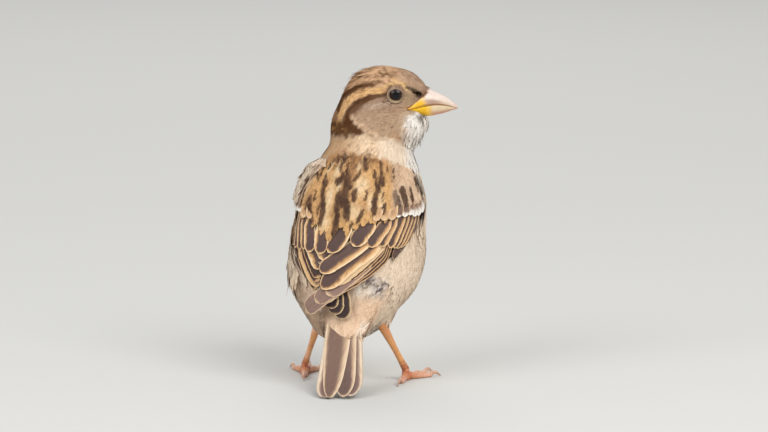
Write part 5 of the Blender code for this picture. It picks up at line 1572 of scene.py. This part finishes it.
def bristles():
    """Short stiff feathers that point forward over the bill's base."""
    gen = np.random.default_rng(77)
    pts, faces, cols, uvs = [], [], [], []
    for i in range(520):
        w = gen.uniform(-0.62, 0.62) + (0.06 if gen.random() < 0.5 else -0.06)
        z = 96.6 - 2.7 * abs(w) / 0.62 * gen.uniform(0.75, 1.0) + gen.normal(0, 0.18)
        side = math.sin(w * 1.9) * 4.1
        f0 = 14.9 - 1.9 * (abs(w) / 0.62) ** 1.6 + gen.normal(0, 0.25)
        root = head_place(f0, side, z)
        sign = 1 if side >= 0 else -1
        way = unit(FACING * 1.0 + RIGHTWARD * sign * gen.uniform(-0.05, 0.25) - UP * gen.uniform(0.1, 0.6))
        length = gen.uniform(0.9, 1.9) * (1.0 if abs(w) > 0.2 else 0.85)
        across = unit(np.cross(way, RIGHTWARD * sign * 0.8 + UP * 0.6)) * gen.uniform(0.05, 0.09)
        lift = (RIGHTWARD * sign * 0.6 + UP * 0.5) * 0.20
        mid = root + way * length * 0.55 + lift
        end = root + way * length + lift * 0.6
        k = len(pts)
        pts += [root - across, root + across, mid - across * 0.8, mid + across * 0.8, end]
        faces += [(k, k + 1, k + 3), (k, k + 3, k + 2), (k + 2, k + 3, k + 4)]
        tone = (rgb(168, 112, 78), rgb(96, 66, 48), rgb(176, 142, 116))[gen.integers(3)]
        if z > 95.6:
            tone, length = rgb(170, 142, 120), length * 0.6
        cols += [tone * gen.uniform(0.85, 1.15)] * 5
        base = skin_uv(root)
        uvs += [base + np.array(d) * 0.0015 for d in ((-1, -1), (1, -1), (-1, 0), (1, 0), (0, 1))]
    obj = build("coat_bristles", pts, np.array(faces), cols, uvs, None, MAT_COAT)
    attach(obj, "root")


bristles()


# ------------------------------------------------------------- legs and claws
MAT_LEG, tree_, shader_, grain_ = painted("leg_scales", 0.45, 0.16, roughness=0.42, specular=0.45)
add_bump(tree_, shader_, grain_.outputs["Fac"], 0.35, 0.06)
MAT_CLAW, tree_, shader_, grain_ = painted("claw_horn", 0.5, 0.10, roughness=0.32, specular=0.5)
LEG_GOLD, LEG_ORANGE, LEG_PINK, LEG_RED = rgb(224, 164, 98), rgb(212, 142, 98), rgb(228, 180, 156), rgb(172, 88, 62)

for side in ("left", "right"):
    hip, ankle, ball = (np.array(v[side]) for v in (HIP, ANKLE, FOOT))
    a, b = place(*ankle), place(*ball)
    pieces_p, pieces_f, pieces_c, start = [], [], [], 0

    def add_part(points, faces, colours):
        global start
        pieces_p.append(points); pieces_c.append(colours)
        for group in faces:
            pieces_f.append(np.asarray(group) + start)
        start += len(points)

    start = 0
    # tarsus with broad scutes in front
    t = np.linspace(-0.12, 1.0, 72)
    path = a + (b - a) * t[:, None]
    length = np.linalg.norm(b - a)
    radii = spread((1.45, 1.15, 0.92, 0.92, 1.15), np.clip(t, 0, 1))
    plate = (t * length / 1.45) % 1.0
    radii = radii + 0.045 * (0.5 - plate)
    rings = tube_rings(path, radii, 24, radii * 1.18)
    points, faces = closed_loft(rings)
    tt = np.concatenate((np.repeat(t, 24), [t[0], t[-1]]))
    pp = np.concatenate((np.repeat(plate, 24), [0, 0]))
    c = mix(np.broadcast_to(LEG_GOLD, points.shape), LEG_ORANGE, noise(points, 1.6, 121))
    c = mix(c, LEG_PINK, ramp(noise(points, 2.4, 122), 0.5, 0.8) * 0.55)
    c = mix(c, LEG_RED, ramp(tt, 0.72, 0.98) * 0.8 + 0.35 * (1 - ramp(tt, -0.05, 0.12)))
    c = mix(c, c * 0.62, ramp(pp, 0.84, 0.98))
    add_part(points, faces, c)
    # the foot's pad and toes
    claws_p, claws_f, claws_c, claw_start = [], [], [], 0
    claw_parts = []
    for name, angle, toe, claw in TOES[side]:
        w = math.radians(angle)
        way = np.array((math.sin(w), math.cos(w)))
        t = np.linspace(0, 1, 44)
        along = -0.8 + (toe + 0.8) * t
        radius = 1.25 + (0.80 - 1.25) * t
        joints = 1 + 0.12 * np.cos(2 * np.pi * (t * 2.5 + 0.5))
        radius = radius * joints
        plate = (along / 0.95) % 1.0
        top_r = radius + 0.04 * (0.5 - plate)
        centre = radius * 0.86 + 0.9 * np.exp(-np.maximum(along, 0) / 1.6)
        path = place(ball[0] + way[0] * along, ball[1] + way[1] * along, centre)
        rings = tube_rings(path, radius, 20, top_r)
        rings[..., 2] = np.maximum(rings[..., 2], 0.0)
        points, faces = closed_loft(rings)
        points[:, 2] = np.maximum(points[:, 2], 0.0)
        pp = np.concatenate((np.repeat(plate, 20), [0, 0]))
        tt = np.concatenate((np.repeat(t, 20), [0, 1]))
        c = mix(np.broadcast_to(LEG_ORANGE, points.shape), LEG_PINK, ramp(tt, 0.1, 0.9) * 0.75)
        c = mix(c, LEG_RED, (0.75 * (1 - ramp(tt, 0.0, 0.35))) + 0.35 * ramp(noise(points, 1.2, 123), 0.5, 0.8))
        c = mix(c, rgb(196, 150, 110), (1 - ramp(points[:, 2], 0.1, 0.7)) * 0.6)
        c = mix(c, c * 0.62, ramp(pp, 0.80, 0.98) * ramp(points[:, 2], 0.8, 1.3))
        add_part(points, faces, c)
        # claw
        t = np.linspace(0, 1, 30)
        begin = toe + 0.1
        run = begin + (claw + 0.56) * (t * (1 - 0.12 * t))
        arch = (0.62 * (1 - t) + 0.20 * t
                + (0.9 + 0.10 * claw) * np.sin(np.pi * np.minimum(t * 0.9 + 0.12, 1)) * (1 - t) ** 0.6)
        radius = 0.58 * (1 - t) ** 0.75 + 0.05
        centre = np.maximum(arch, radius * 0.7)
        path = place(ball[0] + way[0] * run, ball[1] + way[1] * run, centre)
        rings = tube_rings(path, radius * 0.85, 16, radius * 1.2)
        rings[..., 2] = np.maximum(rings[..., 2], 0.0)
        points, faces = closed_loft(rings)
        points[:, 2] = np.maximum(points[:, 2], 0.0)
        tt = np.concatenate((np.repeat(t, 16), [0, 1]))
        c = mix(np.broadcast_to(rgb(206, 160, 134), points.shape), rgb(150, 118, 96), ramp(tt, 0.3, 1.0) * 0.7)
        claw_obj = build(f"claw_horn_{name}_{side}", points, faces, c, None, None, MAT_CLAW)
        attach(claw_obj, "root"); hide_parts(f"claw_{name}_{side}")
    # ball of the foot
    t = np.linspace(0, 1, 16)
    path = place(np.full(16, ball[0]), np.full(16, ball[1]) - 0.2, 0.15 + (ball[2] + 0.4) * t)
    radius = 1.55 - 0.45 * t
    rings = tube_rings(path, radius, 24, radius, up=np.array((0, 1.0, 0)))
    points, faces = closed_loft(rings)
    points[:, 2] = np.maximum(points[:, 2], 0.0)
    add_part(points, faces, mix(np.broadcast_to(LEG_RED, points.shape), LEG_ORANGE, noise(points, 0.9, 125)))
    leg = build(f"leg_{side}", np.concatenate(pieces_p), pieces_f, np.concatenate(pieces_c), None, None, MAT_LEG)
    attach(leg, "root"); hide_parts(f"tarsus_{side}", f"foot_{side}")


# ------------------------------------------------------------- stage, camera
def stage_material(name, colour, roughness):
    mat = bpy.data.materials.new(name)
    mat.use_nodes = True
    shader = mat.node_tree.nodes["Principled BSDF"]
    shader.inputs["Base Color"].default_value = (*colour, 1)
    shader.inputs["Roughness"].default_value = roughness
    return mat


bpy.ops.mesh.primitive_plane_add(size=14.0, location=(0, 0, 0))
floor = bpy.context.object
floor.name = "floor"
floor.data.materials.append(stage_material("floor_pale", (0.60, 0.60, 0.585), 0.9))

AZ, EL = math.radians(198.0), math.radians(8.0)
SCALE = 0.335                      # mm to a pixel at the bird
DISTANCE = 2000.0
back = np.array((math.sin(AZ) * math.cos(EL), -math.cos(AZ) * math.cos(EL), math.sin(EL)))
right = np.array((math.cos(AZ), math.sin(AZ), 0.0))
top = np.cross(back, right)
aim = right * (384 - 354) * SCALE + top * (377 - 216) * SCALE
spot = (aim + back * DISTANCE - ORIGIN) * MM
data = bpy.data.cameras.new("camera")
data.sensor_width = 36.0
data.lens = 36.0 * DISTANCE / (768 * SCALE)
data.clip_start = 0.05
data.clip_end = 60.0
camera = bpy.data.objects.new("camera", data)
camera.location = spot
camera.rotation_euler = Vector(-back).to_track_quat("-Z", "Y").to_euler()
bpy.context.scene.collection.objects.link(camera)
bpy.context.scene.camera = camera

world = bpy.data.worlds.new("soft_sky")
bpy.context.scene.world = world
world.use_nodes = True
world.node_tree.nodes["Background"].inputs["Color"].default_value = (1.0, 0.995, 0.98, 1)
world.node_tree.nodes["Background"].inputs["Strength"].default_value = 0.55


def area_light(name, azimuth, elevation, distance, size, power, colour):
    light = bpy.data.lights.new(name, "AREA")
    light.shape = "DISK"
    light.size = size
    light.energy = power
    light.color = colour
    a, e = math.radians(azimuth), math.radians(elevation)
    way = Vector((math.sin(a) * math.cos(e), -math.cos(a) * math.cos(e), math.sin(e)))
    obj = bpy.data.objects.new(name, light)
    obj.location = Vector((0, 0, 0.055)) + way * distance
    obj.rotation_euler = (-way).to_track_quat("-Z", "Y").to_euler()
    bpy.context.scene.collection.objects.link(obj)


area_light("key", 234, 42, 1.3, 0.9, 10.8, (1.0, 0.985, 0.965))
area_light("fill", 152, 32, 1.5, 1.0, 9.0, (0.98, 0.99, 1.0))
area_light("front", 20, 40, 1.5, 1.0, 5.0, (1.0, 0.99, 0.98))
bpy.context.scene.view_settings.view_transform = "Standard"
bpy.context.scene.view_settings.look = "None"
